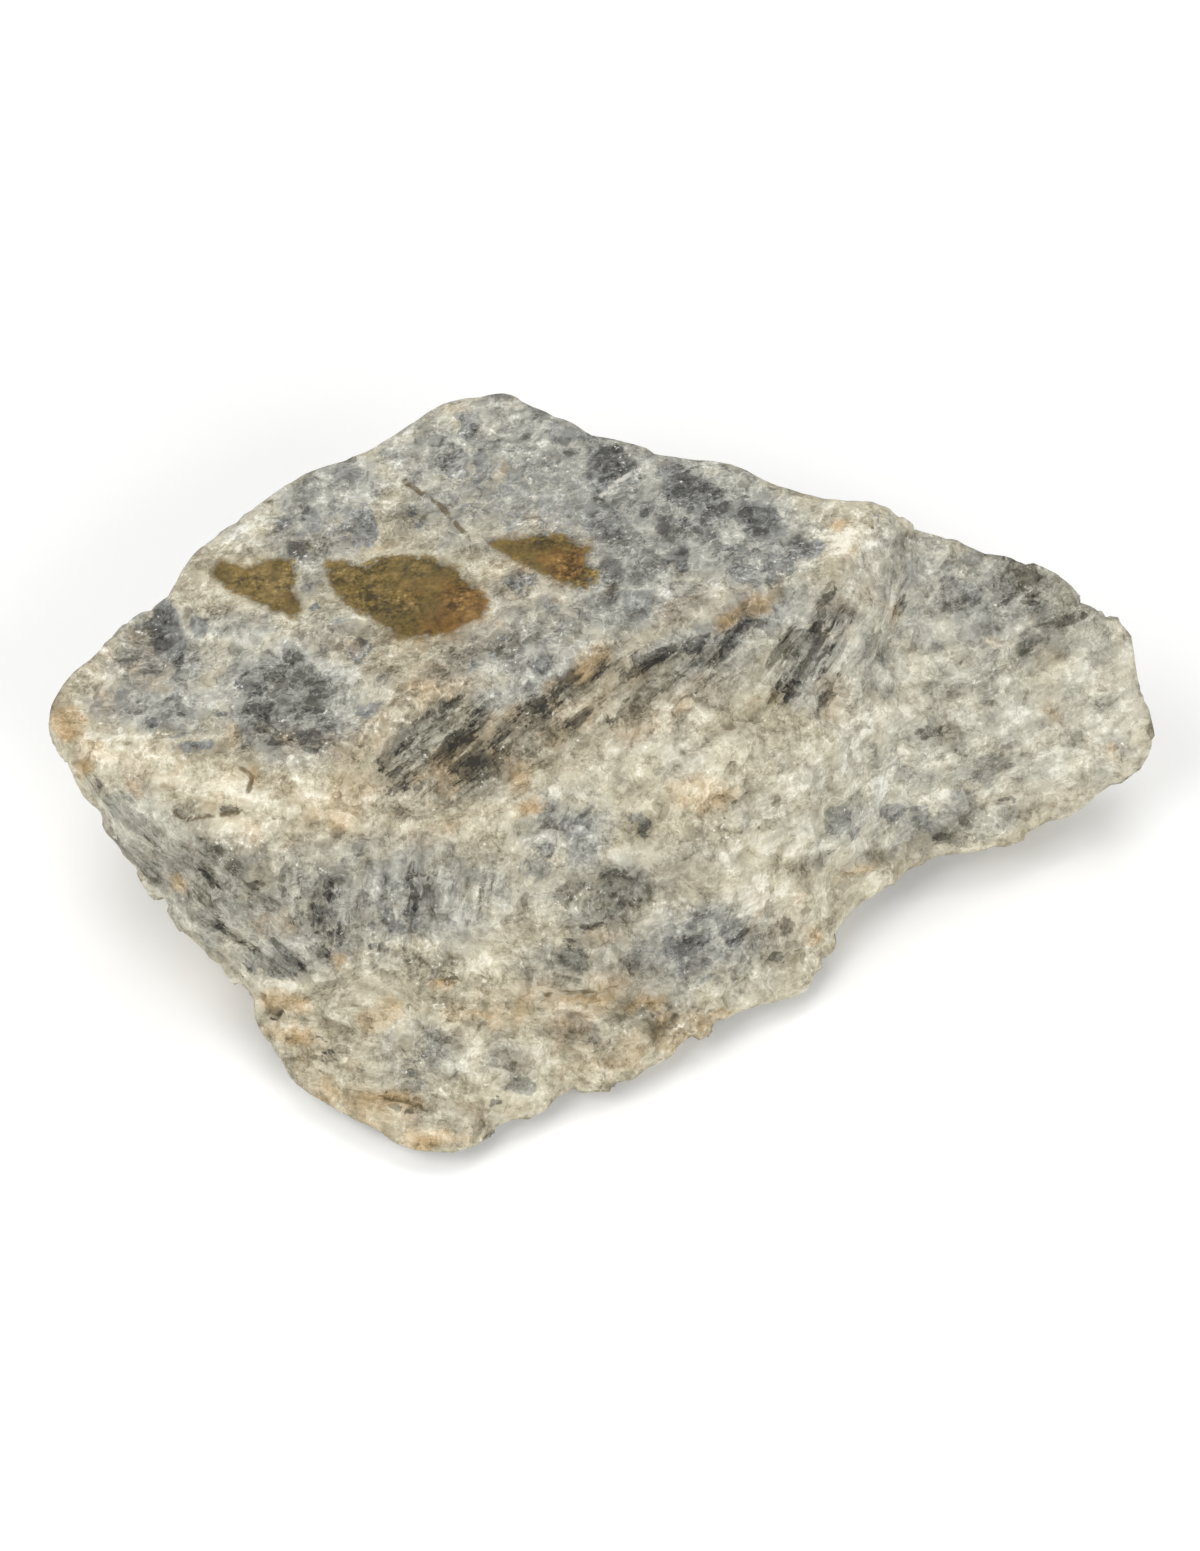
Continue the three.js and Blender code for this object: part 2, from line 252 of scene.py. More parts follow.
# Fibrous feldspar grows in bundles, each with a direction of its own. A bundle has the marks that it covers,
# the turn of its fibres in the photograph, or their way in the stone on the sides that the photograph hides,
# the length and width of its thickest fibres in mm, and how deep the grooves between them are.
BUNDLES = {
    "rising": {"turn": 38, "length": 13, "width": 1.9, "groove": 0.34, "marks": [
        (440, 750, 100, 50, 38, 1.0), (560, 690, 120, 44, 36, 1.0), (700, 650, 110, 40, 34, 1.0),
        (650, 750, 190, 60, 28, 0.7), (600, 820, 150, 40, 20, 0.5)]},
    "steep": {"turn": 58, "length": 13, "width": 1.5, "groove": 0.38, "marks": [
        (815, 650, 85, 44, 60, 1.0), (900, 620, 80, 36, 62, 0.6), (560, 830, 60, 40, 60, 0.4)]},
    "leaning": {"turn": 27, "length": 9, "width": 2.0, "groove": 0.26, "marks": [
        (850, 790, 130, 80, 25, 0.8), (1010, 690, 150, 130, 20, 0.8), (700, 930, 110, 50, 18, 0.7),
        (640, 1030, 100, 40, 15, 0.6)]},
    "bevel": {"turn": -12, "length": 12, "width": 1.7, "groove": 0.22, "marks": [
        (200, 778, 150, 36, -12, 0.9), (340, 815, 90, 34, 0, 0.6)]},
    "upright": {"turn": 84, "length": 9, "width": 1.7, "groove": 0.28, "marks": [
        (400, 890, 115, 60, 0, 0.75)]},
    "falling": {"turn": -42, "length": 11, "width": 1.8, "groove": 0.38, "marks": [
        (150, 850, 120, 46, -48, 1.0), (240, 930, 100, 46, -40, 1.0)]},
    "level": {"turn": -9, "length": 10, "width": 1.7, "groove": 0.40, "marks": [
        (320, 1040, 100, 60, -12, 1.0), (540, 960, 90, 60, 5, 0.6), (430, 1110, 90, 40, -5, 0.8),
        (530, 1050, 80, 50, 0, 0.6)]},
    "back_level": {"way": (0.93, 0.2, -0.30), "length": 11, "width": 1.9, "groove": 0.32, "patch": 0},
    "back_rising": {"way": (0.55, 0.25, 0.80), "length": 11, "width": 1.9, "groove": 0.34, "patch": 1},
}
BACK_PATCH_WIDTH = 19.0  # the two bundles of the hidden sides take turns in patches this wide
BACK_PATCH_EDGE = (-0.25, 0.25)
BACK_PATCH_SHIFT = 130
BARE_TOP = 0.85  # how little the cleavage face shows of the fibres beneath it


def fibre_axes(bundle, share):
    """Three axes as rows: along the fibres, across them on the face, and out of the face. Seen in the
    photograph the fibres have their turn, so their way is the seen one, slid along the view onto the face."""
    slope = (stone_normals * share[:, None]).sum(axis=0)
    face = slope / np.linalg.norm(slope)
    if "way" in bundle:
        along = np.array(bundle["way"])
    else:
        turn = math.radians(bundle["turn"])
        seen_along = math.cos(turn) * VIEW_RIGHT + math.sin(turn) * VIEW_UP
        along = seen_along - TO_CAMERA * (seen_along @ face) / (TO_CAMERA @ face)
    along = along / np.linalg.norm(along)
    across = np.cross(face, along)
    across /= np.linalg.norm(across)
    return np.stack([along, across, np.cross(along, across)])


back_patch = smooth(waves(stone_mm + BACK_PATCH_SHIFT, BACK_PATCH_WIDTH), *BACK_PATCH_EDGE)
for bundle in BUNDLES.values():
    if "way" in bundle:
        share = (1 - facing) * np.abs(bundle["patch"] - back_patch)
    else:
        share = facing * spots(stone_seen, bundle["marks"])
    bundle["share"] = share * (1 - BARE_TOP * on_top)
    bundle["axes"] = fibre_axes(bundle, bundle["share"])

THICK_FIBRES = 0.65
THIN_FIBRES = 0.35
THIN_FIBRE_WIDTH = 0.58  # of the thick ones
THIN_FIBRE_SHIFT = 31.7


def grooves(places, bundle):
    """Ridges along a bundle's fibres, about -1 to 1: waves in cells as long and as wide as the fibres."""
    size = np.array([bundle["length"], bundle["width"], bundle["width"]])
    turned = places @ bundle["axes"].T / size
    thin = waves(turned + THIN_FIBRE_SHIFT, THIN_FIBRE_WIDTH)
    return THICK_FIBRES * waves(turned, 1.0) + THIN_FIBRES * thin


# The relief of the broken surface, in mm.
LUMPS = ((7.0, 0.22), (3.4, 0.10), (1.7, 0.05))  # the width and height of each size of lump
LUMP_SHIFT = 17.0
HACKLE_WIDTH = 5.2  # flat little breaks, each tilted its own way
HACKLE_TILT = 0.17
HACKLE_HIGHEST = 0.6
HACKLE_BEND = 0.9  # by which the lines between the breaks bend
HACKLE_BEND_WIDTH = 2.5
HACKLE_BEND_SHIFTS = (0.0, 40.0, 80.0)
PLATE_WIDTH = 11.0  # thin cleavage plates, one over another
PLATE_HEIGHT = 0.42
PLATE_LEVELS = 3.2
PLATE_SHIFT = 5.0
PLATE_WAVER = 0.25
PLATE_WAVER_WIDTH = 2.2
PLATE_FLAT_SHARE = 0.72  # of each step, before the slope to the next one
# Hollows and ridges that the photograph shows, as marks whose strength is a height in mm.
HOLLOWS = [
    (432, 730, 60, 18, 36, 1.3), (450, 757, 95, 26, 36, 0.9), (560, 702, 60, 20, 38, 0.6),
    (684, 664, 100, 20, 36, 0.9), (822, 652, 75, 32, 60, 0.8), (330, 930, 26, 44, -10, 0.6),
    (620, 888, 50, 18, 0, 0.5), (560, 1003, 80, 10, 3, 0.8), (385, 1098, 34, 9, -5, 0.9),
    (310, 1022, 50, 6, -12, 0.6), (700, 1012, 40, 10, 20, 0.5), (1045, 585, 40, 14, -20, 0.5),
    (150, 638, 22, 34, 10, 0.5),
]
RIDGES = [
    (520, 800, 120, 22, 30, 0.5), (868, 610, 90, 14, 78, 0.7), (745, 882, 60, 22, 10, 0.6),
    (570, 985, 90, 9, 3, 0.6), (385, 1083, 40, 9, -5, 0.6), (310, 1008, 50, 6, -12, 0.5),
    (450, 965, 90, 16, 5, 0.4), (720, 725, 80, 16, 25, 0.4), (240, 800, 120, 12, -12, 0.3),
]
TOP_RELIEF_SHARE = 0.28
ARM_RELIEF_SHARE = 0.6
ARM_FROM_MM = 28.0
ARM_TO_MM = 42.0
ROUNDING_LOSS_MM = 0.25  # how far the rounding draws the surface in, which the relief makes up for


def plates(places):
    """Steps between thin plates: a slow wave, cut into levels with a short slope between them."""
    level = PLATE_LEVELS * waves(places + PLATE_SHIFT, PLATE_WIDTH)
    level += PLATE_WAVER * waves(places, PLATE_WAVER_WIDTH)
    whole = np.floor(level)
    return (whole + smooth(level - whole, PLATE_FLAT_SHARE, 1.0)) / PLATE_LEVELS


def relief(places):
    """How far the surface stands out from the rounded solid: lumps, tilted breaks, plates and grooves, each
    where it belongs, and nothing on the face that the stone rests on."""
    lumps = sum(height * waves(places + LUMP_SHIFT * width, width) for width, height in LUMPS)
    bent = places + HACKLE_BEND * bends(places, HACKLE_BEND_WIDTH, HACKLE_BEND_SHIFTS)
    _, way, number = cells_around(bent, HACKLE_WIDTH)
    hackle = HACKLE_TILT * np.einsum("ij,ij->i", way, lattice_slopes[number])
    rough = lumps + np.clip(hackle, -HACKLE_HIGHEST, HACKLE_HIGHEST) + PLATE_HEIGHT * plates(places)
    height = rough * (1 + (TOP_RELIEF_SHARE - 1) * on_top)
    height *= 1 + (ARM_RELIEF_SHARE - 1) * smooth(places[:, 0], ARM_FROM_MM, ARM_TO_MM)
    height += facing * (spots(stone_seen, RIDGES) - spots(stone_seen, HOLLOWS))
    for bundle in BUNDLES.values():
        height += bundle["share"] * bundle["groove"] * grooves(places, bundle)
    return (height + ROUNDING_LOSS_MM) * off_foot


stone_relief = relief(stone_mm)
stone_mm = stone_mm + stone_relief[:, None] * stone_normals
stone_mesh.vertices.foreach_set("co", (stone_mm * MM).ravel())
stone_mesh.polygons.foreach_set("use_smooth", np.ones(len(stone_mesh.polygons), bool))
stone_mesh.update()
stone = bpy.data.objects.new("labradorite_stone", stone_mesh)
bpy.context.scene.collection.objects.link(stone)

# The markings of the stone, where the photograph shows them. Each is across, down, half length, half width,
# turn and strength, as the marks above.
# Blue-grey feldspar grains.
GREY_GRAINS = [
    (540, 505, 90, 50, -15, 0.42), (470, 490, 30, 30, 0, 0.35), (283, 528, 14, 20, 0, 0.55),
    (300, 550, 13, 16, 0, 0.8), (313, 517, 10, 12, 0, 0.7), (323, 536, 7, 10, 0, 0.6),
    (355, 527, 19, 27, 0, 0.7), (350, 475, 12, 14, 0, 0.55), (415, 517, 9, 14, 0, 0.7),
    (455, 462, 20, 17, 0, 0.65), (468, 424, 12, 17, 20, 0.7), (482, 457, 8, 15, 0, 0.75),
    (560, 432, 18, 13, 0, 0.6), (585, 437, 12, 5, -20, 0.8), (612, 464, 30, 18, -24, 0.8),
    (598, 484, 16, 14, 0, 0.9), (526, 464, 6, 11, 0, 0.65), (605, 520, 22, 30, 0, 0.65),
    (612, 577, 13, 25, 0, 0.85), (638, 606, 19, 14, 20, 0.7), (519, 584, 17, 10, 0, 0.75),
    (553, 606, 15, 12, 0, 0.6), (542, 660, 15, 8, 30, 0.8), (508, 645, 24, 13, 10, 0.5),
    (466, 664, 13, 10, 0, 0.45), (225, 606, 16, 9, 0, 0.45), (360, 646, 11, 18, 0, 0.75),
    (340, 628, 10, 8, 0, 0.5), (322, 611, 10, 8, 0, 0.5), (310, 588, 12, 11, 0, 0.45),
    (150, 721, 8, 6, 0, 0.9), (166, 727, 20, 9, 0, 0.6), (130, 697, 25, 16, 0, 0.4),
    (196, 746, 20, 9, 0, 0.55), (120, 660, 15, 9, 0, 0.3), (167, 632, 14, 32, 8, 0.95),
    (197, 625, 9, 9, 0, 0.6), (181, 655, 5, 14, 0, 0.9), (148, 668, 6, 6, 0, 0.7),
    (243, 668, 12, 18, 0, 0.35), (367, 706, 20, 9, 0, 0.5), (248, 690, 14, 12, 0, 0.6),
    (672, 470, 15, 11, 0, 0.6), (696, 497, 42, 20, -28, 0.65), (757, 520, 34, 17, -24, 0.65),
    (692, 530, 17, 7, 0, 0.75), (713, 537, 8, 10, 0, 0.5), (666, 527, 8, 11, 0, 0.8),
    (682, 560, 13, 16, 0, 0.7), (666, 562, 8, 12, 0, 0.5), (742, 575, 22, 9, -35, 0.95),
    (765, 586, 8, 8, 0, 0.8), (795, 546, 11, 15, 0, 0.85), (813, 546, 13, 11, 0, 0.7),
    (780, 572, 18, 16, 0, 0.6), (640, 525, 20, 36, 0, 0.35), (735, 555, 20, 14, 0, 0.5),
    (772, 550, 16, 16, 0, 0.45), (706, 572, 15, 9, 0, 0.5), (580, 822, 14, 20, -25, 0.75),
    (562, 826, 5, 10, 0, 0.8), (549, 848, 9, 9, 0, 0.85), (470, 900, 14, 34, 0, 0.3),
    (648, 828, 8, 10, 0, 0.85), (636, 822, 16, 11, 0, 0.6), (838, 816, 13, 18, -30, 0.8),
    (852, 832, 7, 9, 0, 0.7), (893, 812, 12, 10, 0, 0.7), (920, 817, 13, 20, 0, 0.65),
    (942, 830, 13, 11, 0, 0.65), (870, 745, 16, 13, 0, 0.45), (985, 772, 24, 20, 0, 0.5),
    (965, 800, 17, 13, 0, 0.55), (985, 696, 10, 16, 0, 0.5), (958, 600, 28, 19, 0, 0.55),
    (880, 690, 13, 16, 0, 0.5), (1050, 615, 20, 19, 0, 0.6), (1030, 642, 15, 19, 0, 0.6),
    (965, 560, 19, 9, 0, 0.6), (905, 575, 14, 18, 0, 0.45), (690, 946, 23, 11, 15, 0.95),
    (734, 930, 13, 17, 0, 0.95), (702, 914, 20, 7, 20, 0.85), (700, 975, 30, 13, 0, 0.55),
    (572, 962, 15, 18, 0, 0.7), (570, 1020, 15, 9, -20, 0.65), (590, 1031, 12, 8, 0, 0.7),
    (420, 1050, 24, 13, 0, 0.5), (410, 1072, 17, 10, 0, 0.55), (410, 922, 22, 16, 0, 0.45),
    (388, 912, 8, 20, 0, 0.4), (130, 822, 46, 12, -50, 0.6), (150, 870, 14, 10, -40, 0.6),
    (205, 846, 18, 7, -20, 0.6), (272, 958, 30, 16, -30, 0.6), (215, 905, 30, 10, -45, 0.55),
    (540, 870, 24, 16, 0, 0.35), (515, 1066, 8, 10, 0, 0.65), (520, 1091, 14, 6, 0, 0.55),
]
# The darkest: black-green and brown-black minerals, in slivers and knots.
DARK_GRAINS = [
    (435, 740, 66, 24, 36, 0.62), (590, 690, 70, 26, 38, 0.5), (815, 650, 66, 40, 60, 0.5),
    (500, 745, 60, 34, 38, 0.35), (725, 640, 60, 14, 36, 0.5), (262, 672, 26, 14, 20, 0.5),
    (1030, 590, 60, 30, -15, 0.35), (960, 836, 50, 8, 12, 0.5), (545, 705, 50, 30, 40, 0.4),
    (380, 760, 30, 12, 30, 0.4), (292, 698, 56, 42, -20, 0.56), (450, 752, 84, 40, 35, 0.46),
    (706, 515, 90, 46, -25, 0.3), (612, 460, 34, 18, -24, 0.5), (690, 655, 80, 18, 36, 0.4),
    (318, 925, 34, 50, 0, 0.35), (620, 888, 44, 20, 0, 0.35), (289, 655, 11, 8, -30, 1.1),
    (286, 676, 24, 16, 20, 0.95), (318, 686, 19, 17, 0, 0.95), (312, 699, 10, 8, 0, 0.8),
    (257, 707, 18, 11, 15, 1.0), (263, 725, 12, 14, 0, 1.1), (300, 713, 15, 9, 0, 0.8),
    (280, 740, 13, 9, 0, 0.85), (310, 738, 15, 10, 0, 1.1), (330, 722, 8, 15, 10, 0.95),
    (345, 694, 14, 10, -30, 0.75), (222, 714, 10, 3, -35, 0.9), (185, 714, 4, 3, 0, 0.9),
    (240, 725, 6, 5, 0, 0.7), (258, 655, 6, 4, 0, 0.5), (296, 728, 6, 5, 0, 0.7),
    (696, 498, 40, 17, -28, 0.45), (758, 521, 30, 14, -24, 0.48), (682, 560, 16, 14, 0, 0.5),
    (402, 764, 20, 8, 40, 0.85), (395, 775, 12, 6, 20, 0.3), (425, 748, 28, 6, 28, 1.0),
    (455, 770, 24, 10, 30, 1.1), (475, 765, 16, 9, 40, 1.1), (458, 752, 26, 7, 35, 0.9),
    (470, 728, 26, 8, 36, 0.8), (440, 735, 18, 8, 30, 0.9), (455, 713, 16, 6, 20, 0.8),
    (436, 783, 20, 6, 30, 0.6), (505, 752, 22, 7, 42, 0.7), (520, 735, 16, 5, 42, 0.6),
    (537, 710, 16, 7, 48, 1.0), (515, 722, 12, 5, 50, 0.7), (495, 698, 14, 6, 30, 0.6),
    (572, 677, 5, 14, -8, 0.65), (685, 648, 26, 6, 32, 0.95), (660, 656, 22, 7, 28, 0.95),
    (702, 650, 12, 7, 60, 0.9), (735, 636, 24, 6, 40, 1.0), (748, 628, 14, 5, 42, 0.9),
    (766, 622, 13, 8, 35, 0.6), (640, 672, 22, 5, 30, 0.9), (622, 709, 14, 3, 42, 0.95),
    (612, 718, 7, 2, 30, 0.8), (720, 675, 24, 7, 36, 0.5), (690, 692, 24, 4, 20, 0.5),
    (745, 672, 10, 3, 40, 0.6), (829, 604, 20, 4, 62, 1.0), (812, 634, 22, 4, 60, 0.95),
    (800, 652, 22, 4, 58, 0.95), (822, 645, 28, 4, 58, 0.9), (836, 630, 22, 4, 62, 0.85),
    (800, 690, 18, 5, 48, 0.95), (814, 667, 26, 4, 56, 0.95), (845, 660, 12, 3, 66, 0.95),
    (852, 624, 12, 3, 82, 0.9), (788, 655, 12, 3, 68, 0.8), (795, 620, 14, 2, 50, 0.6),
    (806, 700, 14, 4, 45, 0.8), (618, 880, 26, 9, 0, 0.7), (641, 889, 7, 12, 0, 0.7),
    (610, 889, 12, 6, 0, 0.4), (600, 926, 23, 5, 4, 1.0), (576, 935, 10, 7, 20, 0.65),
    (640, 968, 9, 15, 0, 0.8), (640, 978, 10, 6, 0, 0.7), (789, 928, 8, 9, 0, 0.85),
    (775, 960, 11, 6, 0, 0.8), (770, 938, 8, 8, 0, 0.6), (768, 758, 9, 3, 50, 0.95),
    (737, 805, 6, 3, 60, 0.8), (723, 818, 6, 3, 60, 0.8), (770, 757, 4, 5, 0, 0.8),
    (700, 945, 14, 6, 15, 0.6), (735, 938, 9, 8, 0, 0.6), (1030, 580, 20, 8, -12, 0.7),
    (1035, 598, 9, 7, 0, 0.8), (1068, 600, 10, 7, -30, 0.8), (1082, 618, 9, 9, 0, 0.8),
    (1005, 800, 11, 4, 0, 0.7), (975, 826, 11, 6, 0, 0.65), (940, 728, 12, 6, 30, 0.55),
    (924, 733, 7, 7, 0, 0.5), (947, 717, 5, 3, 30, 0.8), (903, 605, 6, 12, -20, 0.55),
    (880, 521, 5, 12, 30, 0.5), (1022, 710, 6, 4, 0, 0.6), (975, 843, 22, 3, 12, 0.6),
    (1038, 648, 10, 6, 0, 0.5), (1010, 560, 30, 5, -12, 0.6), (950, 842, 14, 4, 15, 0.5),
    (211, 880, 15, 5, -42, 0.75), (226, 930, 20, 6, -42, 0.8), (250, 944, 18, 4, -30, 0.6),
    (235, 868, 9, 12, 20, 0.65), (252, 886, 12, 7, 0, 0.5), (285, 880, 6, 22, 0, 0.55),
    (350, 868, 5, 14, 0, 0.5), (352, 908, 7, 12, 0, 0.65), (330, 897, 11, 5, 10, 0.8),
    # The mark at 325, 955 is painted shadow in a small hollow beside a cream bump.
    (333, 936, 7, 13, -15, 1.0), (325, 955, 8, 5, 30, 1.0), (315, 915, 9, 14, 0, 0.6),
    (314, 950, 8, 9, 0, 0.6), (387, 880, 7, 16, 0, 0.4), (414, 880, 5, 20, 0, 0.5),
    (436, 884, 6, 11, 0, 0.55), (411, 905, 4, 14, 0, 0.4), (474, 864, 4, 12, 10, 0.7),
    (480, 886, 5, 10, 0, 0.6), (494, 888, 3, 13, 0, 0.6), (375, 952, 13, 5, 0, 0.55),
    (403, 1106, 18, 6, -5, 0.9), (322, 1036, 14, 2, -15, 0.7), (332, 1055, 9, 3, -20, 0.6),
    (325, 1076, 9, 4, -20, 0.55), (371, 1070, 8, 3, -20, 0.7), (300, 1040, 10, 2, 0, 0.6),
    (390, 1095, 14, 3, -5, 0.7), (497, 1100, 5, 4, 0, 0.8), (505, 1050, 3, 13, 0, 0.5),
    (702, 1012, 14, 5, -10, 0.55), (600, 1077, 18, 4, 0, 0.5), (445, 982, 10, 5, 0, 0.6),
    (420, 1060, 12, 4, 20, 0.6), (180, 821, 8, 2, 0, 0.8), (232, 814, 14, 2, 5, 0.6),
]
# Iron stain, tan to orange, that soaked in from the outside.
RUST_SPOTS = [
    (140, 660, 30, 36, 0, 0.4), (620, 935, 40, 16, 0, 0.4), (745, 612, 44, 12, 30, 0.9),
    (275, 925, 30, 20, 0, 0.4), (445, 772, 66, 24, 36, 0.6), (840, 690, 24, 30, 0, 0.5),
    (440, 628, 60, 16, 10, 0.5), (540, 575, 90, 40, 0, 0.4), (530, 535, 60, 22, -10, 0.5),
    (400, 648, 90, 24, 0, 0.4), (470, 640, 60, 26, 20, 0.45), (370, 545, 80, 20, 0, 0.2),
    (380, 725, 50, 20, 30, 0.45), (130, 640, 40, 40, 40, 0.35), (430, 828, 50, 20, 10, 0.4),
    (660, 1035, 60, 24, 15, 0.6), (350, 1110, 70, 24, -10, 0.6), (430, 690, 60, 30, 30, 0.5),
    (440, 655, 60, 30, 10, 0.45), (230, 585, 70, 40, 0, 0.3), (560, 560, 60, 34, 0, 0.45),
    (330, 750, 80, 20, -10, 0.4), (440, 810, 60, 24, 0, 0.4), (80, 700, 60, 60, 0, 0.35),
    (200, 780, 130, 34, -12, 0.4), (270, 832, 110, 24, 0, 0.4), (350, 800, 100, 40, 0, 0.4),
    (500, 740, 120, 30, 36, 0.45), (600, 700, 80, 26, 36, 0.5), (850, 590, 36, 80, 0, 0.35),
    (700, 610, 60, 20, 20, 0.35), (330, 1080, 60, 60, 0, 0.3), (560, 1000, 100, 30, 5, 0.5),
    (600, 1050, 90, 40, 10, 0.45), (770, 920, 40, 30, 0, 0.4), (650, 714, 90, 26, 25, 0.5),
    (440, 1120, 80, 30, 0, 0.4), (68, 722, 18, 18, 0, 1.0), (100, 748, 24, 10, -20, 0.6),
    (85, 768, 10, 14, -50, 0.9), (254, 775, 6, 22, 0, 0.8), (232, 736, 10, 15, 0, 0.6),
    (179, 884, 12, 9, 0, 0.8), (190, 802, 24, 8, 0, 0.4), (338, 960, 8, 8, 0, 0.8),
    (380, 1016, 24, 16, 0, 0.75), (285, 1002, 30, 10, -10, 0.9), (296, 1036, 40, 14, -10, 0.8),
    (400, 1100, 30, 10, 0, 0.8), (345, 1098, 30, 10, -30, 0.7), (430, 1138, 44, 10, 0, 0.8),
    (442, 985, 18, 6, 0, 0.6), (455, 1014, 26, 10, 0, 0.6), (580, 996, 42, 5, 0, 1.0),
    (640, 1006, 30, 9, 0, 0.75), (490, 1013, 18, 5, 20, 0.7), (525, 808, 19, 13, 20, 0.7),
    (430, 812, 20, 12, 0, 0.5), (340, 822, 24, 15, 0, 0.5), (455, 826, 20, 7, 0, 0.5),
    (700, 795, 46, 18, 0, 0.6), (720, 722, 36, 16, 30, 0.3), (570, 770, 24, 14, 0, 0.35),
    (722, 614, 24, 14, 20, 0.6), (590, 664, 34, 15, 52, 0.9), (545, 690, 24, 10, 45, 0.5),
    (525, 775, 24, 14, 40, 0.6), (815, 936, 8, 10, 0, 0.9), (800, 897, 12, 7, 0, 0.5),
    (505, 926, 14, 9, 0, 0.3), (895, 612, 13, 18, 0, 0.5), (500, 470, 7, 13, 0, 0.6),
    (455, 404, 13, 6, 0, 0.6), (712, 468, 11, 7, 0, 0.5), (252, 514, 16, 9, 30, 0.4),
    (1036, 626, 8, 18, 0, 0.3), (990, 641, 14, 8, 0, 0.4), (1055, 712, 13, 20, 0, 0.5),
    (1112, 756, 12, 9, 0, 0.6), (836, 527, 7, 5, 0, 0.8), (375, 550, 22, 5, 15, 0.5),
    (130, 640, 10, 16, 0, 0.5), (640, 1045, 34, 14, 10, 0.6), (600, 1060, 20, 12, 0, 0.6),
    (720, 1015, 20, 8, 20, 0.6), (500, 1080, 34, 14, 10, 0.25), (560, 1070, 18, 8, 10, 0.3),
    (330, 1060, 40, 20, -20, 0.4), (620, 800, 16, 9, 0, 0.3), (470, 680, 30, 12, 25, 0.4),
    (425, 700, 24, 9, 40, 0.5), (770, 700, 24, 9, 30, 0.5), (860, 870, 30, 8, 20, 0.5),
    (700, 870, 26, 12, 10, 0.35), (460, 645, 30, 9, 10, 0.35), (130, 790, 20, 8, -45, 0.5),
    (1060, 800, 40, 10, 15, 0.35),
]
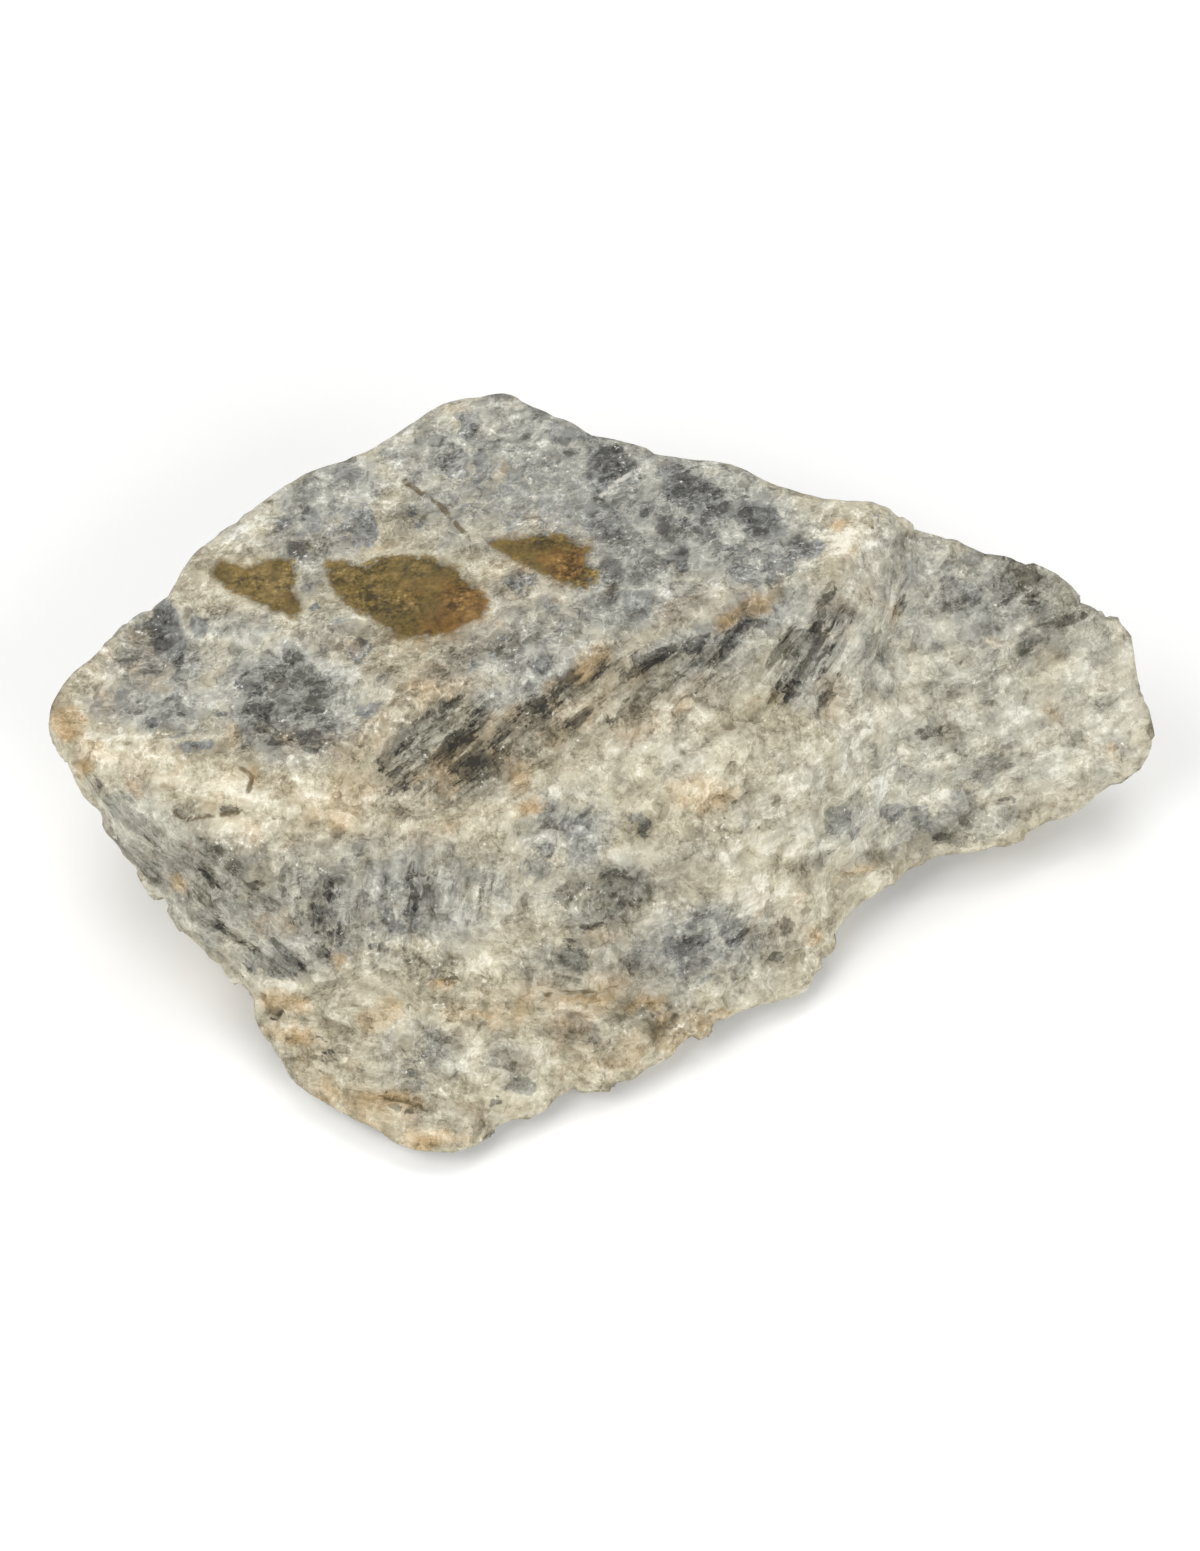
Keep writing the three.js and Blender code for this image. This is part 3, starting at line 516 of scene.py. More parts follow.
# Bleached, creamy feldspar, and painted light that lifts some faces turned away from the lamps.
PALE_SPOTS = [
    (728, 478, 30, 10, -25, 0.6), (540, 944, 20, 12, 0, 0.8), (448, 1078, 16, 20, 0, 0.7),
    (250, 590, 50, 28, 10, 0.8), (415, 922, 26, 14, 0, 0.5), (270, 925, 26, 16, 0, 0.5),
    (105, 668, 20, 16, 0, 0.5), (552, 485, 20, 16, 0, 0.8), (732, 542, 16, 14, 0, 0.8),
    (880, 545, 26, 20, 0, 0.7), (795, 628, 22, 14, 40, 0.6), (395, 797, 22, 10, 0, 0.9),
    (720, 978, 34, 12, 20, 0.7), (300, 836, 30, 10, 0, 0.6), (250, 955, 18, 12, 0, 0.6),
    (430, 1040, 16, 12, 0, 0.5), (672, 1040, 20, 12, 20, 0.6), (618, 1074, 20, 8, 0, 0.6),
    (930, 690, 60, 40, 0, 1.0), (830, 690, 30, 24, 0, 1.0), (880, 730, 50, 30, 30, 0.9),
    (1090, 690, 30, 50, 0, 0.9), (1030, 725, 40, 26, 0, 0.8), (1075, 770, 40, 30, 0, 0.9),
    (775, 830, 40, 26, 0, 1.2), (675, 722, 36, 20, 20, 1.0), (700, 778, 34, 20, 0, 0.8),
    (905, 790, 44, 30, 20, 1.0), (582, 1008, 28, 16, 0, 1.0), (492, 970, 44, 14, 0, 0.7),
    (762, 932, 12, 16, 0, 0.7), (588, 874, 14, 14, 0, 1.0), (175, 825, 30, 12, -30, 0.9),
    (120, 820, 30, 16, -60, 0.8), (435, 1080, 24, 14, 0, 0.7), (872, 822, 54, 26, 10, 1.2),
    (775, 825, 32, 22, 0, 1.0), (925, 685, 42, 28, 0, 0.9), (740, 985, 36, 18, 30, 1.0),
    (1122, 680, 30, 44, 0, 1.0), (1050, 770, 70, 26, 15, 0.9), (415, 1020, 34, 18, 0, 0.8),
    (240, 1000, 20, 36, -20, 1.1), (822, 692, 22, 18, 0, 0.9), (878, 765, 46, 24, 20, 0.9),
    (240, 525, 44, 26, 30, 0.7), (345, 502, 50, 22, 20, 0.5), (360, 822, 44, 12, 0, 0.8),
    (922, 582, 20, 30, 0, 0.7), (845, 560, 40, 46, 0, 0.6), (900, 750, 60, 50, 60, 0.65),
    (1110, 720, 40, 90, 0, 0.7), (810, 915, 30, 40, 0, 0.5), (780, 800, 110, 40, 25, 0.55),
    (860, 820, 60, 40, 0, 0.5), (610, 785, 90, 26, 0, 0.6), (680, 745, 30, 30, 0, 0.6),
    (925, 690, 36, 30, 0, 0.6), (890, 590, 60, 20, 80, 0.5), (1000, 760, 80, 40, 20, 0.5),
    (150, 800, 40, 30, -45, 0.5), (260, 520, 60, 30, 30, 0.4), (930, 720, 130, 90, 20, 0.4),
    (1080, 730, 70, 90, 0, 0.5), (420, 700, 60, 26, 30, 0.4), (160, 765, 80, 16, -10, 0.8),
    (230, 788, 34, 18, 0, 0.8), (258, 828, 30, 16, 0, 0.9), (300, 800, 60, 24, 0, 0.7),
    (120, 742, 40, 8, -5, 0.8), (430, 790, 60, 14, 20, 0.5), (860, 552, 24, 38, 0, 0.9),
    (1112, 692, 26, 70, 0, 0.8), (755, 884, 36, 24, 0, 0.6), (250, 640, 44, 12, 0, 0.7),
    (700, 588, 44, 12, 10, 0.6), (590, 790, 30, 18, 0, 0.4), (470, 1062, 18, 28, 0, 0.8),
    (385, 972, 26, 14, -10, 0.7), (300, 575, 12, 8, 0, 0.3), (600, 850, 40, 14, 0, 0.35),
    (690, 550, 22, 6, 10, 0.8), (820, 692, 16, 6, 30, 0.9), (770, 760, 60, 24, 30, 0.5),
    (330, 665, 36, 8, -25, 0.7), (395, 700, 20, 6, 30, 0.5), (540, 430, 16, 22, -40, 0.5),
    (505, 430, 16, 22, 0, 0.6), (580, 490, 24, 20, 0, 0.4), (625, 480, 30, 3, 42, 0.9),
    (900, 690, 50, 20, 30, 0.5), (1080, 670, 20, 20, 0, 0.6), (530, 560, 60, 30, 0, 0.25),
    (700, 1000, 40, 10, 20, 0.5), (280, 712, 24, 3, 20, 0.9), (295, 695, 18, 2, -50, 0.8),
    (270, 695, 16, 2, 70, 0.7), (600, 955, 14, 14, 0, 0.5), (690, 963, 14, 5, -20, 0.7),
    (848, 852, 12, 3, -40, 0.9), (210, 910, 18, 3, -42, 0.5), (430, 940, 24, 8, 20, 0.6),
    (640, 740, 60, 24, 30, 0.3), (760, 545, 16, 4, 40, 0.4), (815, 555, 16, 3, 40, 0.8),
]
# Where the rock is painted darker without being any greyer: painted shade along the recessed fibrous band
# under the rim of the cleavage face, and other darker patches.
SHADED = [
    (425, 645, 54, 22, 0, 1.2), (430, 530, 40, 18, 30, 1.0), (290, 752, 70, 20, -10, 0.8),
    (440, 722, 64, 18, 36, 1.0), (475, 780, 60, 22, 20, 1.0), (525, 822, 40, 16, 20, 0.9),
    (600, 668, 60, 18, 34, 1.0), (732, 632, 60, 16, 30, 0.5), (730, 735, 44, 20, 30, 1.0),
    (775, 728, 30, 18, 40, 0.6), (285, 705, 46, 34, -10, 0.35), (222, 596, 20, 14, 20, 0.8),
    (862, 600, 26, 26, 0, 0.6), (580, 752, 44, 16, 0, 0.5), (150, 722, 50, 16, 0, 0.6),
    (355, 655, 44, 20, 0, 1.0), (640, 915, 34, 16, 10, 0.8), (640, 972, 30, 20, 0, 0.6),
    (415, 966, 50, 16, -5, 1.2), (470, 862, 50, 22, 0, 0.7), (525, 872, 30, 20, 0, 0.5),
    (235, 874, 36, 18, -30, 0.8), (608, 485, 24, 32, 0, 0.8), (530, 575, 60, 22, 0, 0.5),
    (570, 622, 40, 16, 20, 0.6), (650, 1018, 44, 18, 10, 0.6), (445, 1125, 44, 18, 0, 0.6),
    (515, 1070, 26, 20, 0, 0.5), (790, 575, 24, 14, 0, 0.6), (160, 630, 44, 20, 30, 0.6),
    (650, 832, 50, 14, 20, 0.6), (545, 742, 70, 20, 36, 0.6), (690, 690, 80, 18, 34, 0.3),
    (480, 655, 50, 20, 20, 0.4), (680, 622, 50, 16, 20, 0.7), (635, 628, 30, 14, 20, 0.6),
    (470, 470, 34, 22, 0, 0.3), (625, 525, 20, 20, 0, 0.6), (330, 772, 50, 16, 0, 0.8),
    (240, 772, 30, 14, 0, 0.6), (370, 872, 40, 24, 0, 0.7), (770, 975, 24, 20, 0, 0.8),
    (375, 1025, 28, 20, 0, 0.9), (285, 885, 30, 20, 0, 0.6), (530, 880, 30, 40, 0, 0.5),
    (702, 1010, 26, 14, 10, 0.8), (320, 1075, 36, 26, -20, 0.7), (484, 1084, 22, 22, 0, 0.4),
    (482, 1128, 34, 18, 0, 0.7), (78, 748, 34, 24, -30, 0.9), (182, 568, 26, 20, 40, 0.6),
    (188, 664, 24, 30, 0, 0.6), (130, 762, 80, 18, -10, 0.6), (590, 700, 30, 10, 34, 0.7),
    (745, 664, 22, 18, 40, 0.6), (465, 555, 32, 15, 20, 0.9), (330, 612, 20, 16, 0, 0.7),
    (410, 668, 44, 20, 0, 1.0), (612, 600, 18, 16, 0, 0.7), (962, 722, 34, 18, 20, 0.5),
    (1005, 787, 18, 16, 0, 0.8), (1050, 657, 24, 14, 0, 0.5), (705, 835, 38, 16, 0, 0.8),
    (775, 868, 30, 14, 0, 0.6), (465, 820, 32, 14, 20, 0.7), (290, 774, 60, 18, -8, 1.0),
    (540, 900, 20, 16, 0, 0.5), (830, 572, 22, 18, 0, 0.6), (145, 672, 30, 16, 0, 0.7),
    (685, 527, 20, 16, 0, 0.8), (768, 765, 24, 16, 0, 0.6), (800, 868, 34, 14, 10, 0.6),
    (330, 918, 20, 16, 0, 0.6), (622, 622, 26, 14, 20, 0.6), (60, 705, 20, 20, 0, 0.6),
    (285, 1075, 30, 24, -40, 0.8),
]
# Faces whose greys are bluer. The cleavage face is one of them, and needs no mark.
BLUE_FACES = [
    (400, 895, 110, 66, 0, 0.65), (270, 920, 60, 50, 0, 0.25), (700, 940, 60, 40, 10, 0.7),
    (575, 830, 40, 40, 0, 0.7), (600, 900, 50, 40, 0, 0.2), (420, 1060, 50, 50, 0, 0.5),
    (950, 600, 90, 50, -10, 0.5), (900, 800, 70, 40, 20, 0.5), (840, 650, 50, 60, 60, 0.4),
    (740, 640, 60, 20, 36, 0.6),
]
# Where the ground between the grains is grey too.
GREY_GROUND = [
    (235, 628, 44, 20, 0, 0.5), (225, 925, 50, 26, -45, 0.6), (510, 925, 40, 14, 0, 0.3),
    (740, 980, 40, 24, 20, 0.5), (240, 515, 50, 26, 30, 0.4), (420, 1080, 30, 16, 0, 0.3),
    (690, 860, 50, 24, 0, 0.5), (405, 965, 60, 18, 0, 0.5), (1080, 620, 44, 40, 0, 0.9),
    (980, 670, 80, 34, 15, 0.75), (480, 785, 70, 24, 20, 0.4), (450, 1120, 60, 20, 0, 0.5),
    (515, 1060, 40, 30, 0, 0.6), (420, 735, 50, 20, 36, 0.9), (540, 500, 110, 60, -20, 0.55),
    (650, 1000, 50, 36, 0, 0.7), (1030, 600, 60, 50, 0, 0.9), (970, 825, 60, 20, 12, 0.9),
    (235, 865, 30, 30, 0, 0.9), (500, 725, 150, 40, 36, 0.8), (690, 690, 120, 34, 34, 0.6),
    (260, 880, 60, 50, -20, 0.7), (290, 700, 70, 56, -10, 0.95), (160, 660, 50, 60, 0, 0.7),
    (150, 705, 70, 26, 0, 0.75), (560, 450, 110, 60, -20, 0.75), (690, 510, 120, 60, -20, 1.0),
    (620, 560, 60, 80, 0, 0.8), (480, 505, 90, 50, -10, 0.5), (310, 540, 50, 50, 0, 0.5),
    (330, 492, 60, 34, 25, 0.75), (430, 450, 60, 34, 0, 0.6), (735, 550, 66, 36, -10, 0.8),
    (510, 640, 90, 36, 25, 0.55), (540, 600, 60, 34, 0, 0.4), (220, 600, 60, 40, 0, 0.1),
    (380, 700, 50, 30, -30, 0.3), (340, 640, 50, 34, 0, 0.3), (180, 870, 110, 50, -45, 0.9),
    (400, 890, 130, 60, 0, 0.7), (270, 930, 80, 50, -20, 0.8), (420, 1060, 50, 46, 0, 0.5),
    (690, 940, 110, 46, 10, 0.8), (600, 890, 70, 46, 0, 0.7), (570, 830, 50, 40, 0, 0.7),
    (560, 970, 50, 36, 0, 0.6), (590, 1030, 60, 30, 0, 0.5), (890, 640, 60, 90, 70, 0.4),
    (1060, 740, 110, 70, 20, 0.62), (1100, 660, 60, 80, 0, 0.5), (310, 900, 90, 70, 0, 0.7),
    (830, 650, 60, 80, 60, 0.9), (680, 660, 150, 30, 34, 0.7), (470, 750, 110, 50, 35, 0.7),
    (820, 790, 110, 60, 20, 0.45), (960, 600, 110, 70, -10, 0.8), (1040, 620, 60, 50, 0, 0.6),
    (960, 740, 120, 80, 20, 0.62), (880, 700, 60, 60, 40, 0.4), (640, 760, 110, 40, 20, 0.35),
    (900, 820, 110, 40, 15, 0.6), (540, 850, 60, 40, 0, 0.5), (670, 600, 60, 30, 20, 0.4),
]
# Where the brown stains are orange rather than olive.
STAIN_ORANGE = [
    (460, 612, 40, 24, 20, 1.0), (565, 562, 26, 16, 0, 1.0), (430, 590, 30, 20, 0, 0.4),
    (285, 595, 20, 18, 0, 0.3),
]
# The three crisp brown stains on the flat top, thin dark cracks and a pale scratch, by their corners.
STAIN_OUTLINES = [
    [(210, 572), (222, 563), (243, 571), (262, 562), (285, 560), (296, 575), (292, 590), (301, 601),
     (298, 616), (276, 611), (258, 604), (244, 594), (222, 585)],
    [(328, 564), (345, 563), (366, 566), (382, 559), (410, 556), (430, 557), (456, 570), (463, 580),
     (488, 600), (480, 616), (456, 628), (430, 637), (400, 637), (386, 626), (366, 613), (345, 601),
     (332, 585)],
    [(491, 543), (520, 541), (545, 534), (568, 540), (588, 549), (580, 560), (596, 574), (584, 588),
     (558, 579), (534, 569), (508, 554)],
]
CRACKS = [
    [(403, 480), (420, 492), (440, 505), (456, 524), (472, 540)],
    [(240, 768), (253, 775), (248, 792)],
    [(545, 995), (575, 993), (620, 988)],
    [(172, 810), (185, 820), (200, 817), (240, 812)],
    [(384, 1098), (406, 1101), (426, 1109)],
]
SCRATCH = [(600, 497), (618, 481), (641, 469)]
MARK_BENDS = ((6, 4.0, (0, 60)), (5, 1.6, (20, 90)))  # how far outlines waver in pixels, width in mm, shifts
GROUND_ON_TOP = 0.12  # the cleavage face's ground is a little greyer all over
FAR_MM = 6.0  # a distance past this makes no difference
SHOWN_HALF = 0.5

# The hidden sides have the same minerals in grains of the same sizes, scattered at random, and patches of the
# same rust and bleaching, each with its width in mm.
HIDDEN_GRAINS = {  # width of the cells, the share of them that hold a grain, strength
    "grey": (7.5, 0.42, 0.9),
    "dark": (4.6, 0.16, 0.8),
}
HIDDEN_PATCHES = {  # width, shift, where a wave is high enough for a patch to begin and to be full, strength
    "rust": (15.0, 0, (0.1, 0.7), 0.7),
    "pale": (12.0, 50, (0.0, 0.7), 1.0),
    "ground": (14.0, 90, (-0.3, 0.6), 1.0),
}
GRAIN_BEND = 0.16  # of the cells' width
GRAIN_BEND_WIDTH = 1 / 3
GRAIN_BEND_SHIFTS = (0, 40, 80)
GRAIN_RIM = (0.18, 0.62)  # a grain fades out between these distances from its middle, in cell widths


def scattered(places, width, share):
    """Rounded grains about half as wide as the lattice cells, of which only a share is there: 1 in the
    middle of a grain and 0 between the grains."""
    bent = places + width * GRAIN_BEND * bends(places, width * GRAIN_BEND_WIDTH, GRAIN_BEND_SHIFTS)
    nearest, _, number = cells_around(bent, width)
    there = number < share * LATTICE_SIZE
    return np.where(there, 1 - smooth(nearest / width, *GRAIN_RIM), 0)


seen_now = in_photograph(stone_mm)
seen_bent = seen_now
for pixels, width, shifts in MARK_BENDS:
    seen_bent = seen_bent + pixels * bends(stone_mm, width, shifts)
seen_marks = {"grey": GREY_GRAINS, "dark": DARK_GRAINS, "rust": RUST_SPOTS, "pale": PALE_SPOTS,
              "ground": GREY_GROUND, "shade": SHADED, "blue": BLUE_FACES, "stain_orange": STAIN_ORANGE}
marks = {name: facing * spots(seen_bent, there) for name, there in seen_marks.items()}
marks["ground"] += facing * GROUND_ON_TOP * on_top
marks["blue"] = np.maximum(marks["blue"], on_top)
hidden = 1 - facing
for name, (width, share, strength) in HIDDEN_GRAINS.items():
    marks[name] = np.maximum(marks[name], hidden * strength * scattered(stone_mm, width, share))
for name, (width, shift, edge, strength) in HIDDEN_PATCHES.items():
    marks[name] = np.maximum(marks[name], hidden * strength * smooth(waves(stone_mm + shift, width), *edge))

# The depth in a stain and the distances to the cracks and the scratch are in mm.
shown = facing > SHOWN_HALF
depths = [depth_in_outline(seen_now, corners) for corners in STAIN_OUTLINES]
stain_depth = np.max(depths, axis=0) / PIXELS_PER_MM
marks["stain"] = np.where(shown, np.clip(stain_depth, -FAR_MM, FAR_MM), -FAR_MM)
for name, lines in (("crack", CRACKS), ("scratch", [SCRATCH])):
    apart = np.min([distance_to_line(seen_now, corners) for corners in lines], axis=0) / PIXELS_PER_MM
    marks[name] = np.where(shown, np.clip(apart, 0, FAR_MM), FAR_MM)
marks["relief"] = stone_relief
for name, bundle in BUNDLES.items():
    marks["fibres_" + name] = bundle["share"]
for name, values in marks.items():
    stone_mesh.attributes.new(name, "FLOAT", "POINT").data.foreach_set("value", values.astype(np.float32))

# The stone's material is labradorite feldspar, cleaved and broken. The eye gets cream and light grey
# feldspar mottled with blue-grey grains, dark slivers and rust, nearly matt, with small bright glints off
# the cleavage, partly from lower roughness and partly painted as white specks. Each row of colours goes
# from the darkest tone to the lightest.
CREAMS = ("#2c261b", "#6c644f", "#a19982", "#c8c1aa", "#e9e5d4")
BLUE_GREYS = ("#1c1b19", "#585854", "#898a86", "#b1b1a8", "#dedfd8")
OLIVE_GREYS = ("#1c1a13", "#5a5748", "#8d8a7d", "#b5b2a4", "#dedacb")
RUSTS = ("#32260f", "#735f38", "#a78b5c", "#cbae84", "#e9d6b3")
STAIN_OLIVES = ("#3c3013", "#57481e", "#705c2b", "#87713e", "#a6935f")
STAIN_ORANGES = ("#432b0b", "#624317", "#7c5924", "#926d38", "#b2955f")
# White specks: partly pale feldspar and partly painted glints off the cleavage.
FLECK_AND_GLINT_COLOUR = "#efece2"
CRACK_COLOUR = "#60502f"
SCRATCH_COLOUR = "#dcd8cc"
FELDSPAR_IOR = 1.56
SPECULAR_LEVEL = 0.36
RELIEF_STRENGTH = 0.8

# Its patterns. A noise has the width of its lumps in mm, how many finer sizes go into it, and their strength.
NOISES = {
    "coarse": (6.5, 3.0, 0.6), "medium": (2.2, 4.0, 0.62), "fine": (0.95, 3.0, 0.62),
    "grit": (0.42, 2.0, 0.6), "hue": (3.5, 3.0, 0.6), "calm": (5.0, 2.0, 0.5),
}
NOISE_MIDDLE = 0.5
FIBRE_NOISE = (1.0, 5.0, 0.7)  # its width is counted in fibres
BEND_NOISE_MM = 2.4  # bends the outlines of the grains, by up to about half of BEND_MM
BEND_NOISE_DETAIL = 3.0
BEND_NOISE_ROUGHNESS = 0.6
BEND_MM = 2.0
GRAINS_MM = {"grains": 3.4, "small_grains": 1.4}
VEIN_SPACING_MM = 4.4
WISPS = {"pale_wisps": (2.8, 0.035), "dark_wisps": (4.4, 0.025)}  # width of the noise in mm, thickness
WISP_DETAIL = 4.0
WISP_ROUGHNESS = 0.6

# An edge is two values: where a change begins, and where it is complete.
UNIT = (0.0, 1.0)
CALM_EDGE = (-0.16, 0.16)
CALM_STRENGTH = (0.45, 1.45)  # of the finer noises, in calm and in lively places
MEDIUM_AMONG_FIBRES = (1.0, 0.55)  # the strength of the medium noise in plain rock and among fibres
FINE_AMONG_FIBRES = (1.0, 0.65)
DARK_LIMIT = (0.95, 0.60)  # the most that a dark mark counts, in plain rock and among fibres
VEIN_EDGE = (0.11, 0.0)
# Where the painted shade in hollow places of the relief begins and where it is full, in mm of relief.
HOLLOW_SHADE_EDGE_MM = (0.05, -0.65)
FLECK_AND_GLINT_EDGE = (0.22, 0.31)
GLINT_EDGE = (0.05, 0.22)
ROCK_ROUGHNESS = (0.66, 0.46)  # between the glints and on them
STAIN_ROUGHNESS = 0.22  # more than the rock's

# Each kind of mark: the patterns that roughen its outline, with their weights, and its edge.
RAGGED = {"medium": 1.0, "fine": 0.6, "small_grains": 0.16, "streaks": 1.6}
OUTLINES = {
    "grey": ({"ragged": 1.0, "grains": 0.45}, (0.32, 0.56)),
    "dark": ({"ragged": 1.0, "grains": 0.35, "small_grains": 0.35, "dark_streaks": 4.0}, (0.45, 0.68)),
    "rust": ({"hue": 1.5, "medium": 0.4}, (0.15, 1.15)),
    "pale": ({"ragged": 1.0}, (0.1, 0.9)),
    "ground": ({"hue": 1.2, "medium": 0.3}, (0.05, 0.85)),
    "blue": ({"hue": 1.5}, (-0.3, 0.9)),
    "stain": ({"medium": 1.9, "fine": 2.0}, (-0.75, 0.2)),
    "stain_orange": ({"hue": 1.0}, (0.2, 0.9)),
    "crack": ({"fine": 0.35, "medium": 0.3}, (0.36, 0.08)),
    "scratch": ({"fine": 0.4}, (0.35, 0.1)),
}
VEIN_WAVER = {"medium": 0.40}
FLECK_AND_GLINT_NOISES = {"fine": 1.0, "grit": 0.7}

# What each pattern adds to the tone of the rock or of a stain, from 0 for black to 1 for white.
BASE_TONE = 0.625
# Of these, shade is painted shade, and so is the one that darkens hollow places of the relief.
TONE = {
    "coarse": 0.62, "medium": 0.60, "fine": 0.52, "grit": 0.30, "small_grains": 0.15, "grains": 0.19,
    "streaks": -1.35, "blue_veins": 0.13, "pale_wisps": 0.09, "blue_wisps": 0.08, "dark_wisps": -0.13,
    "ground": -0.09, "grey": -0.21, "dark": -0.28, "pale": 0.17, "rust": 0.01, "shade": -0.15,
    "hollow_shade": -0.12,
}
BASE_STAIN_TONE = 0.34
STAIN_TONE = {"medium": 1.2, "fine": 1.4, "coarse": 0.5, "grit": 1.0, "pale": 0.12}
# How much of the colour below it each pattern hides, and how high it stands in the finest relief, in mm.
HIDES = {
    "grey": 0.95, "ground": 0.8, "dark": 0.8, "blue": 1.0, "cold": 1.0, "rust": 0.8, "flecks_and_glints": 0.55,
    "stain_orange": 0.8, "stain": 0.96, "crack": 0.85, "scratch": 0.7,
}
FINEST_RELIEF_MM = {"fine": 0.20, "grit": 0.08, "medium": 0.30, "streaks": 0.8, "crack": -0.25}

material = bpy.data.materials.new("labradorite_feldspar")
material.use_nodes = True
tree = material.node_tree
tree.nodes.clear()
patterns = {}


def linear(hex_colour):
    """The linear colour of an sRGB hex value, by the sRGB curve."""
    parts = np.array([int(hex_colour[i : i + 2], 16) for i in (1, 3, 5)]) / 255
    curved = np.where(parts <= 0.04045, parts / 12.92, ((parts + 0.055) / 1.055) ** 2.4)
    return (*curved.tolist(), 1.0)


def add(kind, inputs=None, **settings):
    """Adds a node of that kind with its settings. An input is a value, or another node's output to link."""
    made = tree.nodes.new("ShaderNode" + kind)
    for setting, value in settings.items():
        setattr(made, setting, value)
    for socket, value in (inputs or {}).items():
        if isinstance(value, bpy.types.NodeSocket):
            tree.links.new(value, made.inputs[socket])
        else:
            made.inputs[socket].default_value = value
    return made


def noise(place, width, detail, roughness):
    """Noise with lumps of about that width, in the unit of the place, less its middle: about -0.5 to 0.5."""
    settings = {"Vector": place, "Scale": 1 / width, "Detail": detail, "Roughness": roughness}
    height = add("TexNoise", settings).outputs[0]
    return add("Math", {0: height, 1: NOISE_MIDDLE}, operation="SUBTRACT").outputs[0]


def total(*terms):
    """The sum of the terms. Each is an output, or an output and what it is multiplied by."""
    sum_so_far = 0.0
    for term in terms:
        output, factor = term if isinstance(term, tuple) else (term, 1.0)
        sum_so_far = add("Math", {0: output, 1: factor, 2: sum_so_far}, operation="MULTIPLY_ADD").outputs[0]
    return sum_so_far


def weighed(weights, unit=1.0):
    """The patterns named in a table as terms of a sum, each times its weight and the unit of the weights."""
    return [(patterns[name], weight * unit) for name, weight in weights.items()]


def share_of(terms, edge, ends=UNIT):
    """The sum of the terms, taken to a share: with t as its way from the beginning of the edge to the end,
    3t² - 2t³ goes from the first of the ends to the second."""
    begin, end = edge
    low, high = ends
    settings = {"Value": total(*terms), "From Min": begin, "From Max": end, "To Min": low, "To Max": high}
    return add("MapRange", settings, interpolation_type="SMOOTHSTEP").outputs[0]


def tones(tone, hex_colours):
    """A colour for each tone from 0 to 1, evenly spaced, from the darkest to the lightest."""
    ramp = add("ValToRGB", {0: tone})
    stops = ramp.color_ramp.elements
    while len(stops) < len(hex_colours):
        stops.new(0.5)
    for order, hex_colour in enumerate(hex_colours):
        stops[order].position = order / (len(hex_colours) - 1)
        stops[order].color = linear(hex_colour)
    return ramp.outputs[0]


def painted(colour, *layers):
    """A colour with layers laid over it, each with the pattern that says where and HIDES says how much. The
    node has its factor in input 0, its colours in 6 and 7, and the mixed one in output 2."""
    for layer, name in layers:
        share = total((patterns[name], HIDES[name]))
        colour = add("Mix", {0: share, 6: colour, 7: layer}, data_type="RGBA").outputs[2]
    return colour


object_place = add("TexCoord").outputs["Object"]
on_mesh = {name: add("Attribute", attribute_name=name).outputs["Fac"] for name in marks}

# Streaks along each bundle's fibres, where the bundle is. The rock is less grainy there, and everywhere the
# grain comes and goes.
streaks = []
for name, bundle in BUNDLES.items():
    turned = Matrix(bundle["axes"].T.tolist()).to_euler()
    size = (bundle["length"] * MM, bundle["width"] * MM, bundle["width"] * MM)
    place = add("Mapping", {0: object_place, 2: turned, 3: size}, vector_type="TEXTURE").outputs[0]
    streaks.append((noise(place, *FIBRE_NOISE), on_mesh["fibres_" + name]))
patterns["streaks"] = total(*streaks)
fibrous = total(*(share for _, share in streaks))
for name, (width_mm, detail, roughness) in NOISES.items():
    patterns[name] = noise(object_place, width_mm * MM, detail, roughness)
liveliness = share_of([patterns["calm"]], CALM_EDGE, CALM_STRENGTH)
patterns["medium"] = total((patterns["medium"], share_of([fibrous], UNIT, MEDIUM_AMONG_FIBRES)))
patterns["fine"] = total((patterns["fine"], share_of([fibrous], UNIT, FINE_AMONG_FIBRES)))
patterns["fine"] = total((patterns["fine"], liveliness))
patterns["grit"] = total((patterns["grit"], liveliness))

# Grains: cells with bent outlines. Each has a tone of its own, and pale veins run between them.
bend = add("TexNoise", {
    "Vector": object_place, "Scale": 1 / (BEND_NOISE_MM * MM),
    "Detail": BEND_NOISE_DETAIL, "Roughness": BEND_NOISE_ROUGHNESS,
}).outputs["Color"]
bend = add("VectorMath", {0: bend, 1: (NOISE_MIDDLE,) * 3}, operation="SUBTRACT").outputs[0]
bending = {0: bend, 1: (BEND_MM * MM,) * 3, 2: object_place}
bent_place = add("VectorMath", bending, operation="MULTIPLY_ADD").outputs[0]
for name, width_mm in GRAINS_MM.items():
    cell = add("TexVoronoi", {"Vector": bent_place, "Scale": 1 / (width_mm * MM)}, distance="CHEBYCHEV")
    own_tone = add("SeparateColor", {0: cell.outputs["Color"]}).outputs[0]
    patterns[name] = add("Math", {0: own_tone, 1: NOISE_MIDDLE}, operation="SUBTRACT").outputs[0]
vein_settings = {"Vector": bent_place, "Scale": 1 / (VEIN_SPACING_MM * MM)}
beside_vein = add("TexVoronoi", vein_settings, feature="DISTANCE_TO_EDGE").outputs[0]
veins = share_of([beside_vein, *weighed(VEIN_WAVER)], VEIN_EDGE)

# Wisps: thin pale lines and thin dark lines, where a slow noise passes through its middle.
for name, (width_mm, thickness) in WISPS.items():
    slow = noise(bent_place, width_mm * MM, WISP_DETAIL, WISP_ROUGHNESS)
    from_middle = add("Math", {0: slow}, operation="ABSOLUTE").outputs[0]
    patterns[name] = share_of([from_middle], (thickness, 0.0))

